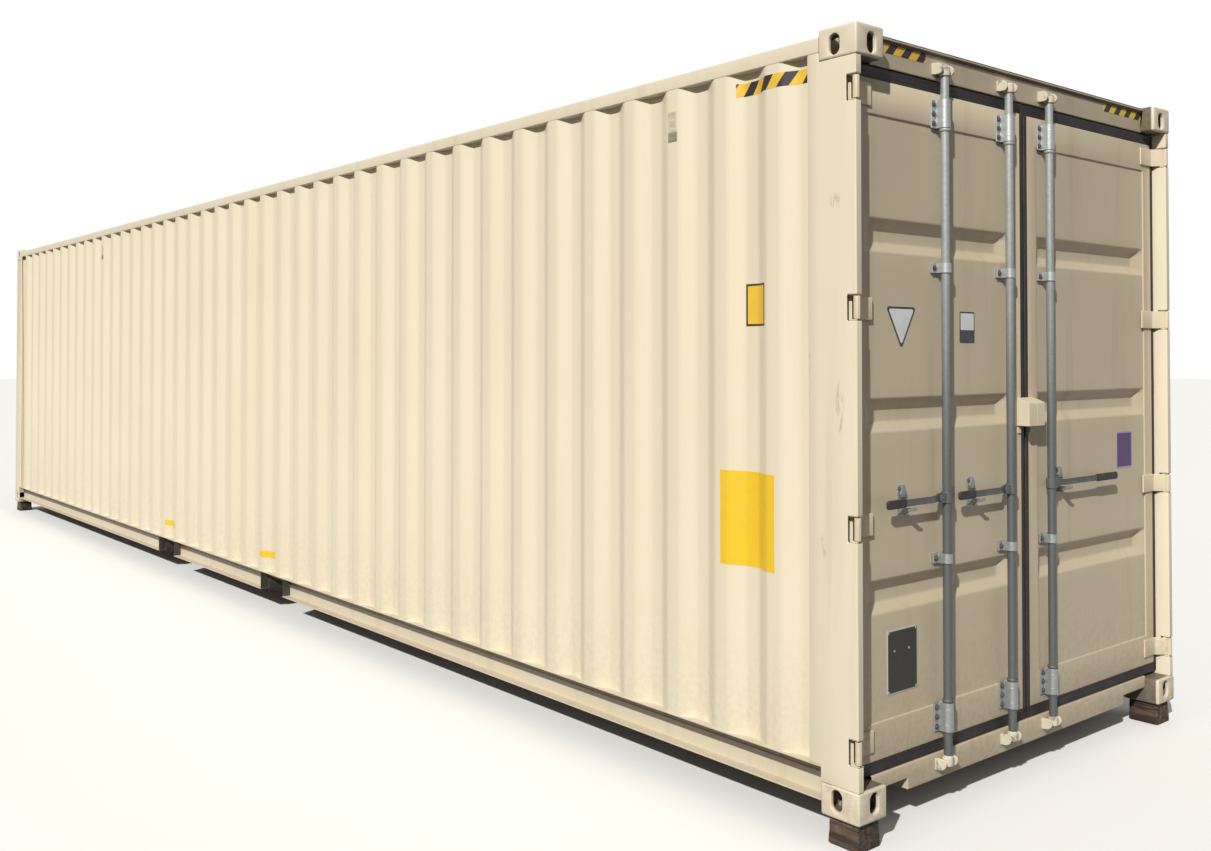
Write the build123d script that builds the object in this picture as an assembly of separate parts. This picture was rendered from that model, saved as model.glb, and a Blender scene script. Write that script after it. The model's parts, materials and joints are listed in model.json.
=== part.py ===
from build123d import *
from math import atan2, cos, radians, sin, tan
import os

# Shipping container, 40 ft high cube. The length lies along X with the doors at +X,
# +Z is up, and the origin is at the ground under the middle of the base.
# Heights below are counted from the undersides of the bottom corner castings;
# the timber blocks lift everything by their own height when the files are written.

# Overall size
length = 12192
width = 2438
height = 2896
block_height = 104

# Corner castings and the timber blocks under them
casting_length = 178
casting_width = 162
casting_height = 118
casting_plate = 28
casting_wall = 15
aperture_length = 124
aperture_width = 63.5
aperture_x = 103.5
aperture_y = 89.5
casting_edge = 12
round_steps = 4
side_hole_height = 79
side_hole_width = 51
side_hole_level = 66
block_length = 150
block_width = 132
block_edge = 16
block_taper = 5

# Posts
post_inset = 2
end_inset = 4
post_depth = 228
post_side_plate = 5
post_box_width = 47
post_inner_web = 4
post_hollow = 24
post_lip = 5
post_plate = 6

# Side rails and the walls between the posts
top_rail_size = 60
top_rail_wall = 3
top_rail_drop = 24
bottom_rail_foot = 48
bottom_rail_top = 156
bottom_rail_flange = 62
bottom_rail_web_inset = 16
bottom_rail_plate = 6
rib_count = 41
rib_face = 72
rib_slope = 68
rib_depth = 36
wall_sheet = 2
wall_inset = 2

# Front end
front_rail_depth = 60
front_rail_wall = 4
front_pitch = 250
front_rib_face = 104
front_rib_slope = 26
front_rib_depth = 46

# Roof
roof_pitch = 348
roof_face = 150
roof_slope = 18
roof_rib_depth = 20
roof_sheet = 2

# Door end frame
header_drop = 18
header_height = 103
header_wall = 4
end_face_inset = 66
rain_lip = 14
rain_plate = 6
sill_foot = 29
sill_head = 129
sill_wall = 5
sill_notch_length = 215
sill_notch_height = 44

# Floor and base
cross_foot = 16
cross_height = 122
cross_flange = 45
cross_plate = 4
cross_pitch = 357
board_thickness = 28
board_gap = 2
board_rows = 5
pocket_centre = 1045
pocket_width = 360
pocket_plate = 6
tunnel_length = 3315
tunnel_width = 1029
tunnel_plate = 6

# Doors
leaf_thickness = 50
leaf_sill_gap = 48
leaf_header_gap = 51
leaf_edge_gap = 6
leaf_middle_gap = 14
leaf_setback = 4
outer_stile = 95
inner_stile = 100
top_member = 134
bottom_member = 142
frame_wall = 4
panel_sheet = 2
panel_setback = 6
groove_foot_inset = 462
groove_head_inset = 449
groove_height = 128
groove_slope = 38
groove_depth = 32
groove_mitre = 60
gasket_front = 11
gasket_thickness = 30
gasket_side = 3
gasket_gap = 6
gasket_seam = 4

# Hinges
hinge_count = 4
hinge_foot_inset = 81
hinge_head_inset = 64
pin_x_inset = 15
pin_y_shift = 1
pin_radius = 5.5
pin_gap = 0.1
bore_sides = 12
knuckle_radius = 13.5
knuckle_sides = 10
blade_height = 84
blade_plate = 8
blade_reach = 150
blade_crank = 48
slot_gap = 5
slot_back = 34
lug_height = 15
lug_gap = 1
lug_root_inset = 8
lug_taper = 10

# Lock rods
rod_stand_off = 32
rod_radius = 17
inner_rod_inset = 153
outer_rod_offset = 49
keeper_head_rise = 33
keeper_sill_drop = 31
keeper_height = 54
keeper_half = 46
keeper_ear = 10
keeper_reach = 50
keeper_chamfer = 14
keeper_bridge = 10
keeper_bridge_reach = 30
cam_height = 44
cam_radius = 21
cam_sides = 12
cam_nose = 27
cam_nose_width = 16
cam_clearance = 6

# Rod brackets
bracket_foot_inset = 93
bracket_head_inset = 84
bracket_height = 112
lower_guide_level = 889
upper_guide_level = 2030
guide_height = 38
bracket_plate = 6
bracket_shell = 6
bracket_sides = 12
bracket_wing = 28
bracket_clip = 9
running_gap = 0.3

# Handles
handle_level = 1128
hub_reach = 58
hub_height = 40
hub_wall = 6
hub_clip = 11
hub_cheek = 6
hub_gap = 2
hub_web = 2
handle_bar = 8
handle_height = 26
handle_crank = 12
handle_crank_start = 68
handle_crank_length = 36
handle_pivot = 38
handle_pin_radius = 6
handle_end_clip = 7
inner_handle_gap = 65
outer_handle_gap = 163
right_handle_gap = 463
left_grip = 115
right_grip = 190
grip_height = 34
grip_extra = 2
left_catch_inset = 150
right_catch = 120
catch_plate = 5
catch_width = 46
catch_rise = 62
catch_drop = 26
catch_shelf = 6
catch_reach = 60
catch_lip = 6
catch_gap = 5
catch_clip = 10

# Lock box over the door seam
box_half = 62
box_foot = 1385
box_height = 120
box_reach = 60
box_sheet = 4
box_slope = 24

# Ventilators high on the side walls
vent_ribs = (2, 30)
vent_top_gap = 90
vent_width = 56
vent_height = 130
vent_depth = 3
vent_edge = 2

half_length = length / 2
half_width = width / 2
side_face = half_width - post_inset
end_face = half_length - end_inset
post_back = end_face - post_depth
casting_back = half_length - casting_length
casting_inner = half_width - casting_width
post_foot = casting_height
post_head = height - casting_height
rail_head = height - top_rail_drop
rail_foot = rail_head - top_rail_size
rail_inner = side_face - top_rail_size
post_inner = side_face - post_box_width
inner_web_face = side_face - post_side_plate - post_hollow - post_inner_web
header_head = height - header_drop
header_foot = header_head - header_height
leaf_foot = sill_head + leaf_sill_gap
leaf_head = header_foot - leaf_header_gap
frame_face = half_length - end_face_inset
leaf_front = frame_face - leaf_setback
leaf_back = leaf_front - leaf_thickness
panel_face = leaf_front - panel_setback
leaf_side = inner_web_face - leaf_edge_gap
leaf_middle = leaf_middle_gap / 2
post_box_front = leaf_back - leaf_edge_gap
floor_foot = cross_foot + cross_height
floor_head = floor_foot + board_thickness
pin_x = half_length - pin_x_inset
pin_y = side_face - post_side_plate - post_hollow / 2 + pin_y_shift
hinge_pitch = (leaf_head - hinge_head_inset - leaf_foot - hinge_foot_inset) / (hinge_count - 1)
hinge_levels = [leaf_foot + hinge_foot_inset + k * hinge_pitch for k in range(hinge_count)]
rod_x = leaf_front + rod_stand_off
rib_pitch = (2 * post_back - rib_face) / rib_count
wall_outer = side_face - wall_inset
pocket_head = bottom_rail_top - bottom_rail_plate
keeper_level_top = header_foot + keeper_head_rise
keeper_level_bottom = sill_head - keeper_sill_drop
bracket_level_top = leaf_head - bracket_head_inset
bracket_level_bottom = leaf_foot + bracket_foot_inset
box_head = box_foot + box_height
panel_foot = leaf_foot + bottom_member
panel_head = leaf_head - top_member
groove_low = panel_foot + groove_foot_inset
groove_high = panel_head - groove_head_inset
inner_rod_y = leaf_middle + inner_rod_inset
outer_rod_y = (inner_rod_y + leaf_side) / 2 - outer_rod_offset
inner_handle = outer_rod_y - inner_rod_y - inner_handle_gap
outer_handle = leaf_side - outer_rod_y - outer_handle_gap
right_handle = leaf_side - inner_rod_y - right_handle_gap
past = 1


def block(x0, x1, y0, y1, z0, z1):
    """Box between two corners."""
    return Pos((x0 + x1) / 2, (y0 + y1) / 2, (z0 + z1) / 2) * Box(abs(x1 - x0), abs(y1 - y0), abs(z1 - z0))


def prism(points, low, high):
    """Upright prism with a plan outline."""
    return Pos(0, 0, low) * extrude(make_face(Polyline(*points, close=True)), high - low, dir=(0, 0, 1))


def along_y(points, low, high):
    """Prism along Y with an outline given in X and Z."""
    outline = [(x, low, z) for x, z in points]
    return extrude(make_face(Polyline(*outline, close=True)), high - low, dir=(0, 1, 0))


def along_x(points, low, high):
    """Prism along X with an outline given in Y and Z."""
    outline = [(low, y, z) for y, z in points]
    return extrude(make_face(Polyline(*outline, close=True)), high - low, dir=(1, 0, 0))


def other_side(shape):
    """The same piece on the far side of the middle plane."""
    return mirror(shape, about=Plane.XZ)


def other_end(shape):
    """The same piece at the far end."""
    return mirror(shape, about=Plane.YZ)


def rod_piece(radius, x, y, low, high):
    """Upright round bar."""
    return Pos(x, y, (low + high) / 2) * Cylinder(radius, high - low)


def folded_line(count, pitch, face, slope, depth, start):
    """Corners of a folded sheet: each rib has a raised face and two slopes."""
    line = []
    for k in range(count + 1):
        x = start + k * pitch
        line += [(x, 0), (x + face, 0)]
        if k < count:
            line += [(x + face + slope, -depth), (x + pitch - slope, -depth)]
    return line


def folded_sheet(count, pitch, face, slope, depth, start, sheet):
    """Closed outline of a folded sheet of even thickness; its ends lie on the raised face."""
    front = folded_line(count, pitch, face, slope, depth, start)
    shift = sheet * tan(atan2(depth, slope) / 2)
    back = []
    for i, (x, y) in enumerate(front):
        at_end = i in (0, len(front) - 1)
        step = 0 if at_end else (shift if (i % 4 in (0, 3)) else -shift)
        back.append((x + step, y - sheet))
    return front + back[::-1]


def clipped(u0, u1, v0, v1, clip):
    """Corners of a rectangle whose corners at u1 are cut off."""
    return [(u0, v0), (u1 - clip, v0), (u1, v0 + clip), (u1, v1 - clip), (u1 - clip, v1), (u0, v1)]


def upright_slot(height, width):
    """Outline of an upright slot whose round ends have a few flat steps."""
    radius = width / 2
    rise = height / 2 - radius
    top = [radians(180 * k / round_steps) for k in range(round_steps + 1)]
    points = [(radius * cos(a), rise + radius * sin(a)) for a in top]
    points += [(-x, -z) for x, z in points]
    return make_face(Polyline(*points, close=True))


def write(name, *pieces):
    """Write one sub-part, with each of its solids lifted on to the timber blocks."""
    lift = Pos(0, 0, block_height)
    solids = [lift * solid for piece in pieces for solid in piece.solids()]
    shape = solids[0] if len(solids) == 1 else Compound(children=solids)
    export_step(shape, os.path.join("parts", name + ".step"))


def corner_blocks():
    """Four worn timber blocks, one under each bottom casting, with broken edges and tapered sides."""
    x = half_length - casting_length / 2
    y = half_width - casting_width / 2
    timber = extrude(Rectangle(block_length, block_width), block_height, taper=block_taper / 2)
    timber = chamfer(timber.edges().filter_by(Axis.Z, tolerance=block_taper), block_edge)
    return [Pos(sx * x, sy * y, -block_height) * timber for sx in (-1, 1) for sy in (-1, 1)]


def casting(plain):
    """Casting at the +X +Y corner: hollow, with a slot below and a hole in both outer faces."""
    outline = [(casting_back, casting_inner), (half_length, casting_inner), (half_length, half_width - casting_edge),
               (half_length - casting_edge, half_width), (casting_back, half_width)]
    body = prism(outline, 0, casting_height)
    body -= block(casting_back + casting_wall, half_length - casting_wall, casting_inner + casting_wall,
                  half_width - casting_wall, casting_plate, casting_height - casting_wall)
    slot = Rotation(0, 0, 90) * upright_slot(aperture_length, aperture_width) if plain \
        else SlotOverall(aperture_length, aperture_width)
    body -= Pos(half_length - aperture_x, half_width - aperture_y, -past) * extrude(slot, casting_plate + 2 * past)
    hole = upright_slot(side_hole_height, side_hole_width)
    side = Plane((half_length - aperture_x, half_width + past, side_hole_level), x_dir=(1, 0, 0), z_dir=(0, -1, 0))
    end = Plane((half_length + past, half_width - aperture_y, side_hole_level), x_dir=(0, 1, 0), z_dir=(-1, 0, 0))
    body -= extrude(side * hole, casting_wall + 2 * past)
    return body - extrude(end * hole, casting_wall + 2 * past)


def four_corners(piece):
    """One piece at all four corners."""
    pair = [piece, other_side(piece)]
    return pair + [other_end(p) for p in pair]


def door_post():
    """Post at the +X +Y corner: a box behind the door edge and a folded nose that holds the hinges."""
    nose_in = inner_web_face
    outline = [(post_back, side_face), (end_face, side_face), (end_face, nose_in),
               (post_box_front, nose_in), (post_box_front, post_inner), (post_back, post_inner)]
    post = prism(outline, post_foot, post_head)
    post -= block(post_back + post_plate, post_box_front - post_plate, post_inner + post_plate,
                  side_face - post_side_plate, post_foot - past, post_head + past)
    post -= block(post_box_front, end_face - post_lip, nose_in + post_inner_web,
                  side_face - post_side_plate, post_foot - past, post_head + past)
    reach = blade_height / 2 + slot_gap
    for level in hinge_levels:
        post -= block(pin_x - slot_back, half_length, nose_in - past, half_width, level - reach, level + reach)
    return post + block(post_back, casting_back, side_face - post_plate, side_face, post_head, rail_foot)


def hinge_lugs():
    """Two tapered lugs and a pin for each hinge at the +Y post."""
    pieces = []
    root = pin_x - slot_back + lug_root_inset
    low_y = inner_web_face + post_inner_web
    high_y = side_face - post_side_plate
    outline = [(root, low_y), (end_face - post_lip - lug_taper, low_y), (end_face - post_lip, low_y + lug_taper / 2),
               (end_face - post_lip, high_y), (root, high_y)]
    for level in hinge_levels:
        near = blade_height / 2 + lug_gap
        far = near + lug_height
        piece = rod_piece(pin_radius, pin_x, pin_y, level - near, level + near)
        piece += prism(outline, level - far, level - near)
        piece += prism(outline, level + near, level + far)
        pieces.append(piece)
    return pieces


def front_post():
    """Closed box post at the -X +Y corner."""
    post = block(-end_face, -post_back, post_inner, side_face, post_foot, post_head)
    post -= block(-end_face + post_plate, -post_back - post_plate, post_inner + post_plate,
                  side_face - post_plate, post_foot - past, post_head + past)
    return post + block(-casting_back, -post_back, side_face - post_plate, side_face, post_head, rail_foot)


def top_rail():
    """Square tube between the top castings on the +Y side."""
    rail = block(-casting_back, casting_back, rail_inner, side_face, rail_foot, rail_head)
    return rail - block(-half_length, half_length, rail_inner + top_rail_wall, side_face - top_rail_wall,
                        rail_foot + top_rail_wall, rail_head - top_rail_wall)


def bottom_rail():
    """Channel on the +Y side in three lengths, with a flange that runs on over both fork pockets."""
    web = side_face - bottom_rail_web_inset
    plate = bottom_rail_plate
    inner = side_face - bottom_rail_flange
    outline = [(inner, bottom_rail_top), (side_face, bottom_rail_top), (side_face, pocket_head),
               (web, pocket_head), (web, bottom_rail_foot), (inner, bottom_rail_foot),
               (inner, bottom_rail_foot + plate), (web - plate, bottom_rail_foot + plate),
               (web - plate, pocket_head), (inner, pocket_head)]
    near = pocket_centre - pocket_width / 2
    far = pocket_centre + pocket_width / 2
    pieces = [along_x(outline, -near, near)]
    for side in (-1, 1):
        low, high = sorted((side * far, side * post_back))
        strut = block(side * post_back, side * casting_back, web - plate, web, bottom_rail_foot, casting_height)
        pieces.append(along_x(outline, low, high) + strut)
        pieces.append(block(side * near, side * far, inner, side_face, pocket_head, bottom_rail_top))
    return pieces


def side_wall():
    """Folded sheet wall on the +Y side."""
    points = folded_sheet(rib_count, rib_pitch, rib_face, rib_slope, -rib_depth, -post_back, wall_sheet)
    points = [(x, wall_outer - rib_depth + y) for x, y in points]
    return prism(points, bottom_rail_top, rail_foot)


def front_wall():
    """Folded sheet wall between the front posts."""
    count = int((2 * post_inner - front_rib_face) // front_pitch)
    start = -(count * front_pitch + front_rib_face) / 2
    points = folded_sheet(count, front_pitch, front_rib_face, front_rib_slope, front_rib_depth, start, wall_sheet)
    face = -end_face + front_rail_depth / 2
    points = [(face - y, x) for x, y in points]
    wall = prism(points, floor_foot, post_head)
    for side in (-1, 1):
        wall += block(face, face + wall_sheet, side * -start, side * post_inner, floor_foot, post_head)
    return wall


def roof():
    """Roof sheet with shallow cross ribs, between the top rails."""
    count = int((2 * casting_back - roof_face) // roof_pitch)
    start = -(count * roof_pitch + roof_face) / 2
    points = folded_sheet(count, roof_pitch, roof_face, roof_slope, roof_rib_depth, start, roof_sheet)
    points = [(x, rail_head + z) for x, z in points]
    sheet = along_y(points, -rail_inner, rail_inner)
    for side in (-1, 1):
        sheet += block(side * -start, side * casting_back, -rail_inner, rail_inner,
                       rail_head - roof_sheet, rail_head)
    return sheet


def door_header():
    """Box beam over the doors with a rain lip along its top edge."""
    back = casting_back
    beam = block(back, frame_face, -casting_inner, casting_inner, header_foot, header_head)
    beam -= block(back + header_wall, frame_face - header_wall, -half_width, half_width,
                  header_foot + header_wall, header_head - header_wall)
    lip = block(back, frame_face + rain_lip, -casting_inner, casting_inner, header_head, header_head + rain_plate)
    return beam + lip


def door_sill():
    """Stepped hollow beam under the doors, with a lined notch beside both castings."""
    step = leaf_back - leaf_edge_gap
    wall = sill_wall
    outline = [(frame_face, sill_foot), (frame_face, sill_head), (step, sill_head), (step, floor_head),
               (casting_back, floor_head), (casting_back, sill_foot)]
    hollow = [(frame_face - wall, sill_foot + wall), (frame_face - wall, sill_head - wall),
              (step - wall, sill_head - wall), (step - wall, floor_head - wall),
              (casting_back + wall, floor_head - wall), (casting_back + wall, sill_foot + wall)]
    beam = along_y(outline, -casting_inner, casting_inner)
    beam -= along_y(hollow, -half_width, half_width)
    notch_top = sill_foot + sill_notch_height
    notch_inner = casting_inner - sill_notch_length
    for side in (-1, 1):
        beam += block(casting_back, frame_face, side * (notch_inner - wall), side * casting_inner,
                      sill_foot, notch_top + wall)
        beam -= block(casting_back - past, frame_face + past, side * notch_inner, side * half_width,
                      sill_foot - past, notch_top)
    return beam


def front_top_rail():
    """Box beam over the front wall with a plate that closes the roof behind it."""
    inner = -end_face + front_rail_depth
    beam = block(-end_face, inner, -casting_inner, casting_inner, post_head, rail_head)
    beam -= block(-end_face + front_rail_wall, inner - front_rail_wall, -half_width, half_width,
                  post_head + front_rail_wall, rail_head - front_rail_wall)
    return beam + block(inner, -casting_back, -casting_inner, casting_inner, rail_head - front_rail_wall, rail_head)


def front_bottom_rail():
    """Box beam under the front wall, cut out for the gooseneck tunnel."""
    inner = -end_face + front_rail_depth
    beam = block(-end_face, inner, -casting_inner, casting_inner, cross_foot, floor_foot)
    beam -= block(-end_face + front_rail_wall, inner - front_rail_wall, -half_width, half_width,
                  cross_foot + front_rail_wall, floor_foot - front_rail_wall)
    for side in (-1, 1):
        beam += block(-end_face, inner, side * casting_inner, side * post_inner, casting_height, floor_foot)
    half = tunnel_width / 2 + tunnel_plate
    return beam - block(-half_length, inner + past, -half, half, cross_foot - past, floor_foot + past)


def tunnel():
    """Raised plate over the gooseneck tunnel with its two side plates."""
    half = tunnel_width / 2
    back = -end_face + tunnel_length
    roof_plate = block(-end_face, back, -half - tunnel_plate, half + tunnel_plate,
                       floor_foot - tunnel_plate, floor_foot)
    for side in (-1, 1):
        roof_plate += block(-end_face, back, side * half, side * (half + tunnel_plate),
                            cross_foot, floor_foot - tunnel_plate)
    return roof_plate


def channel(x, y0, y1):
    """One cross member: a channel with its web at x."""
    web = [(x, cross_foot), (x + cross_flange, cross_foot), (x + cross_flange, cross_foot + cross_plate),
           (x + cross_plate, cross_foot + cross_plate), (x + cross_plate, floor_foot - cross_plate),
           (x + cross_flange, floor_foot - cross_plate), (x + cross_flange, floor_foot), (x, floor_foot)]
    return along_y(web, y0, y1)


def cross_members():
    """Channels under the floor, clear of the fork pockets and the gooseneck tunnel."""
    pieces = []
    rail_web = side_face - bottom_rail_flange
    tunnel_back = -end_face + tunnel_length
    reach = pocket_width / 2 + pocket_plate
    count = int((2 * casting_back - cross_flange) // cross_pitch)
    start = -(count * cross_pitch + cross_flange) / 2
    for k in range(count + 1):
        x = start + k * cross_pitch
        if any(abs(x + cross_flange / 2 - side * pocket_centre) < reach + cross_flange for side in (-1, 1)):
            continue
        if x < tunnel_back:
            edge = tunnel_width / 2 + tunnel_plate
            pieces += [channel(x, -rail_web, -edge), channel(x, edge, rail_web)]
        else:
            pieces.append(channel(x, -rail_web, rail_web))
    return pieces


def fork_pockets():
    """Two tunnels across the base for lifting forks, each of a roof plate and two side plates."""
    pieces = []
    reach = side_face - bottom_rail_flange
    for side in (-1, 1):
        low = side * pocket_centre - pocket_width / 2
        high = side * pocket_centre + pocket_width / 2
        pieces.append(block(low - pocket_plate, high + pocket_plate, -reach, reach,
                            floor_foot - pocket_plate, floor_foot))
        for x0, x1 in ((low - pocket_plate, low), (high, high + pocket_plate)):
            pieces.append(block(x0, x1, -reach, reach, cross_foot, floor_foot - pocket_plate))
    return pieces


def floor_boards():
    """Plywood sheets side by side on the cross members."""
    pieces = []
    front = -end_face + front_rail_depth / 2 + front_rib_depth + wall_sheet + board_gap
    sheet = (casting_back - front) / board_rows
    edge = side_face - bottom_rail_flange - board_gap
    for k in range(board_rows):
        x = front + k * sheet
        for y0, y1 in ((-edge, -board_gap / 2), (board_gap / 2, edge)):
            pieces.append(block(x, x + sheet - board_gap / 2, y0, y1, floor_foot, floor_head))
    return pieces


def leaf_frame():
    """Welded door frame on the +Y side: two hollow stiles and two hollow cross members."""
    frame = block(leaf_back, leaf_front, leaf_middle, leaf_side, leaf_foot, leaf_head)
    frame -= block(leaf_back - past, leaf_front + past, leaf_middle + inner_stile, leaf_side - outer_stile,
                   panel_foot, panel_head)
    for y0, y1 in ((leaf_middle, leaf_middle + inner_stile), (leaf_side - outer_stile, leaf_side)):
        frame -= block(leaf_back + frame_wall, leaf_front - frame_wall, y0 + frame_wall, y1 - frame_wall,
                       leaf_foot + frame_wall, leaf_head - frame_wall)
    return frame


def groove_solid(face, level, middle_y, mouth, inset):
    """Trapezoid bar with mitred ends, from the mouth of a groove at the face to its floor."""
    back = face - groove_depth
    half = groove_height / 2 - inset
    low = middle_y - mouth / 2
    high = middle_y + mouth / 2
    section = [(face, level - half), (face, level + half), (back, level + half - groove_slope),
               (back, level - half + groove_slope)]
    plan = [(face, low), (face, high), (back, high - groove_mitre), (back, low + groove_mitre)]
    return along_y(section, low, high) & prism(plan, level - half, level + half)


def leaf_panel():
    """Pressed door sheet on the +Y side with three long grooves that have sloped, mitred ends."""
    y0 = leaf_middle + inner_stile
    y1 = leaf_side - outer_stile
    back = panel_face - panel_sheet
    sheet = block(back, panel_face, y0, y1, panel_foot, panel_head)
    for level in (groove_low, (groove_low + groove_high) / 2, groove_high):
        outer = groove_solid(back, level, (y0 + y1) / 2, y1 - y0, 0)
        inner = groove_solid(panel_face, level, (y0 + y1) / 2, y1 - y0 - 2 * panel_sheet, panel_sheet)
        sheet = sheet - inner + (outer - inner)
    return sheet


def leaf_gasket(middle_strip):
    """Rubber seal round the +Y door leaf."""
    front = leaf_front - gasket_front
    back = front - gasket_thickness
    outer = block(back, front, leaf_middle - middle_strip, leaf_side + gasket_side,
                  sill_head + gasket_gap, header_foot - gasket_gap)
    return outer - block(back - past, front + past, leaf_middle, leaf_side, leaf_foot, leaf_head)


def hinge_blades():
    """Cranked hinge blades of the +Y door, each bored for its pin."""
    pieces = []
    front = leaf_front + blade_plate
    strip = make_face(Polyline((pin_x - blade_plate / 2, pin_y), (leaf_front, pin_y - blade_crank),
                               (leaf_front, pin_y - blade_reach), (front, pin_y - blade_reach),
                               (front, pin_y - blade_crank), (pin_x + blade_plate / 2, pin_y), close=True))
    strip += Pos(pin_x, pin_y) * RegularPolygon(knuckle_radius, knuckle_sides)
    strip -= Pos(pin_x, pin_y) * RegularPolygon(pin_radius + pin_gap, bore_sides, major_radius=False)
    for level in hinge_levels:
        pieces.append(Pos(0, 0, level - blade_height / 2) * extrude(strip, blade_height, dir=(0, 0, 1)))
    return pieces


def keeper(y, level, outward):
    """Keeper on the frame face: two tapered ears beside the cam, joined by a bridge beyond the rod's end."""
    root = frame_face
    cam_end = cam_height / 2 + cam_clearance
    ends = sorted((level - outward * keeper_height / 2, level + outward * (cam_end + keeper_bridge)))
    outline = clipped(root, root + keeper_reach, ends[0], ends[1], keeper_chamfer)
    body = along_y(outline, y - keeper_half, y - keeper_half + keeper_ear)
    body += along_y(outline, y + keeper_half - keeper_ear, y + keeper_half)
    return body + block(root, root + keeper_bridge_reach, y - keeper_half, y + keeper_half,
                        level + outward * cam_end, level + outward * (cam_end + keeper_bridge))


def lock_rod(y):
    """Round lock rod between its two cams."""
    return rod_piece(rod_radius, rod_x, y, keeper_level_bottom + cam_height / 2, keeper_level_top - cam_height / 2)


def cams(y, side):
    """Forged cams on both ends of a rod; the tapered nose points to the given side."""
    pieces = []
    half = cam_nose_width / 2
    outline = [(rod_x - cam_radius, y), (rod_x - half, y + side * cam_nose), (rod_x + half, y + side * cam_nose),
               (rod_x + cam_radius, y)]
    for level in (keeper_level_bottom, keeper_level_top):
        low = level - cam_height / 2
        high = level + cam_height / 2
        head = Pos(rod_x, y, low) * extrude(RegularPolygon(cam_radius, cam_sides), cam_height)
        pieces.append(head + prism(outline, low, high))
    return pieces


def rod_bracket(y, side, level, tall, seat):
    """Bearing for a rod: a strap bent round it with legs down to the door, and one bolted wing."""
    low = level - tall / 2
    high = level + tall / 2
    bore = rod_radius + running_gap
    shell = bore + bracket_shell
    leg = shell * cos(radians(180 / bracket_sides))
    body = Pos(rod_x, y, low) * extrude(RegularPolygon(shell, bracket_sides, major_radius=True, rotation=15), tall)
    body += block(seat, rod_x, y - leg, y + leg, low, high)
    wing = clipped(y + side * bore, y + side * (shell + bracket_wing), low, high, side * bracket_clip)
    if side < 0:
        wing = [(y + side * bore, low), (y - shell - bracket_wing + bracket_clip, low),
                (y - shell - bracket_wing, low + bracket_clip), (y - shell - bracket_wing, high - bracket_clip),
                (y - shell - bracket_wing + bracket_clip, high), (y + side * bore, high)]
    body += along_x(wing, seat, leaf_front + bracket_plate)
    body -= block(seat - past, rod_x, y - bore, y + bore, low - past, high + past)
    hollow = RegularPolygon(bore, bore_sides, major_radius=False)
    return body - Pos(rod_x, y, low - past) * extrude(hollow, tall + 2 * past)


def rod_brackets(rod_ys, side):
    """All bearings and guides for the rods of one door."""
    pieces = []
    for y in rod_ys:
        for level in (bracket_level_bottom, bracket_level_top):
            pieces.append(rod_bracket(y, side, level, bracket_height, leaf_front))
        for level in (lower_guide_level, upper_guide_level):
            pieces.append(rod_bracket(y, side, level, guide_height, panel_face))
    return pieces


def pivot(y, side):
    """Place of a handle's pivot, with its axis along X."""
    return Pos(rod_x, y + side * handle_pivot, handle_level) * Rotation(0, 90, 0)


def handle_hub(y, side):
    """Forged hub on the side of a rod: a tapered root, two cheeks and the pivot pin of the handle."""
    low = handle_level - hub_height / 2
    high = handle_level + hub_height / 2
    inner = handle_bar / 2 + hub_gap
    outer = inner + hub_cheek
    sleeve = rod_radius + hub_wall
    half = [(sleeve, 0), (sleeve, sleeve - hub_clip), (outer, sleeve), (outer, hub_reach)]
    outline = [(rod_x + x, y + side * v) for x, v in half] + [(rod_x - x, y + side * v) for x, v in half[::-1]]
    hub = prism(outline, low, high)
    hub -= block(rod_x - inner, rod_x + inner, y + side * (rod_radius + hub_web), y + side * (hub_reach + past),
                 low - past, high + past)
    pin = Cylinder(handle_pin_radius, 2 * inner)
    return hub + pivot(y, side) * pin


def handle(y, side, reach, grip_length):
    """Cranked flat bar with a broader grip and a clipped tip, bored for the pivot pin."""
    start = handle_pivot - handle_height / 2
    out = handle_crank
    crank_end = handle_crank_start + handle_crank_length
    grip_start = reach - grip_length
    half = handle_bar / 2
    grip = half + grip_extra
    plan = [(-half, start), (-half, handle_crank_start), (out - half, crank_end), (out - half, grip_start),
            (out - grip, grip_start + grip_extra), (out - grip, reach), (out + grip, reach),
            (out + grip, grip_start + grip_extra), (out + half, grip_start), (out + half, crank_end),
            (half, handle_crank_start), (half, start)]
    bar = prism([(rod_x + x, y + side * v) for x, v in plan],
                handle_level - grip_height / 2, handle_level + grip_height / 2)
    slim = handle_height / 2
    broad = grip_height / 2
    clip = handle_end_clip
    face = [(start, clip - slim), (start + clip, -slim), (grip_start, -slim), (grip_start + clip, -broad),
            (reach - clip, -broad), (reach, clip - broad), (reach, broad - clip), (reach - clip, broad),
            (grip_start + clip, broad), (grip_start, slim), (start + clip, slim), (start, slim - clip)]
    bar &= along_x([(y + side * v, handle_level + z) for v, z in face], rod_x - grip, rod_x + out + grip)
    bore = RegularPolygon(handle_pin_radius + pin_gap, bore_sides, major_radius=False)
    return bar - pivot(y, side) * extrude(bore, handle_bar, both=True)


def handle_catch(y, side, distance):
    """Catch on the door: a clipped back plate and a shelf with a raised lip under the handle."""
    middle = y + side * distance
    low = middle - catch_width / 2
    high = middle + catch_width / 2
    shelf_top = handle_level - handle_height / 2 - catch_gap - catch_lip
    foot = shelf_top - catch_shelf - catch_drop
    head = handle_level + catch_rise
    clip = catch_clip
    outline = [(low + clip, foot), (high - clip, foot), (high, foot + clip), (high, head - clip),
               (high - clip, head), (low + clip, head), (low, head - clip), (low, foot + clip)]
    front = leaf_front + catch_reach
    shelf = [(panel_face, shelf_top), (front - catch_lip, shelf_top), (front - catch_lip, shelf_top + catch_lip),
             (front, shelf_top + catch_lip), (front, shelf_top - catch_shelf), (panel_face, foot + clip)]
    return along_x(outline, panel_face, panel_face + catch_plate) + along_y(shelf, low + clip, high - clip)


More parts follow.
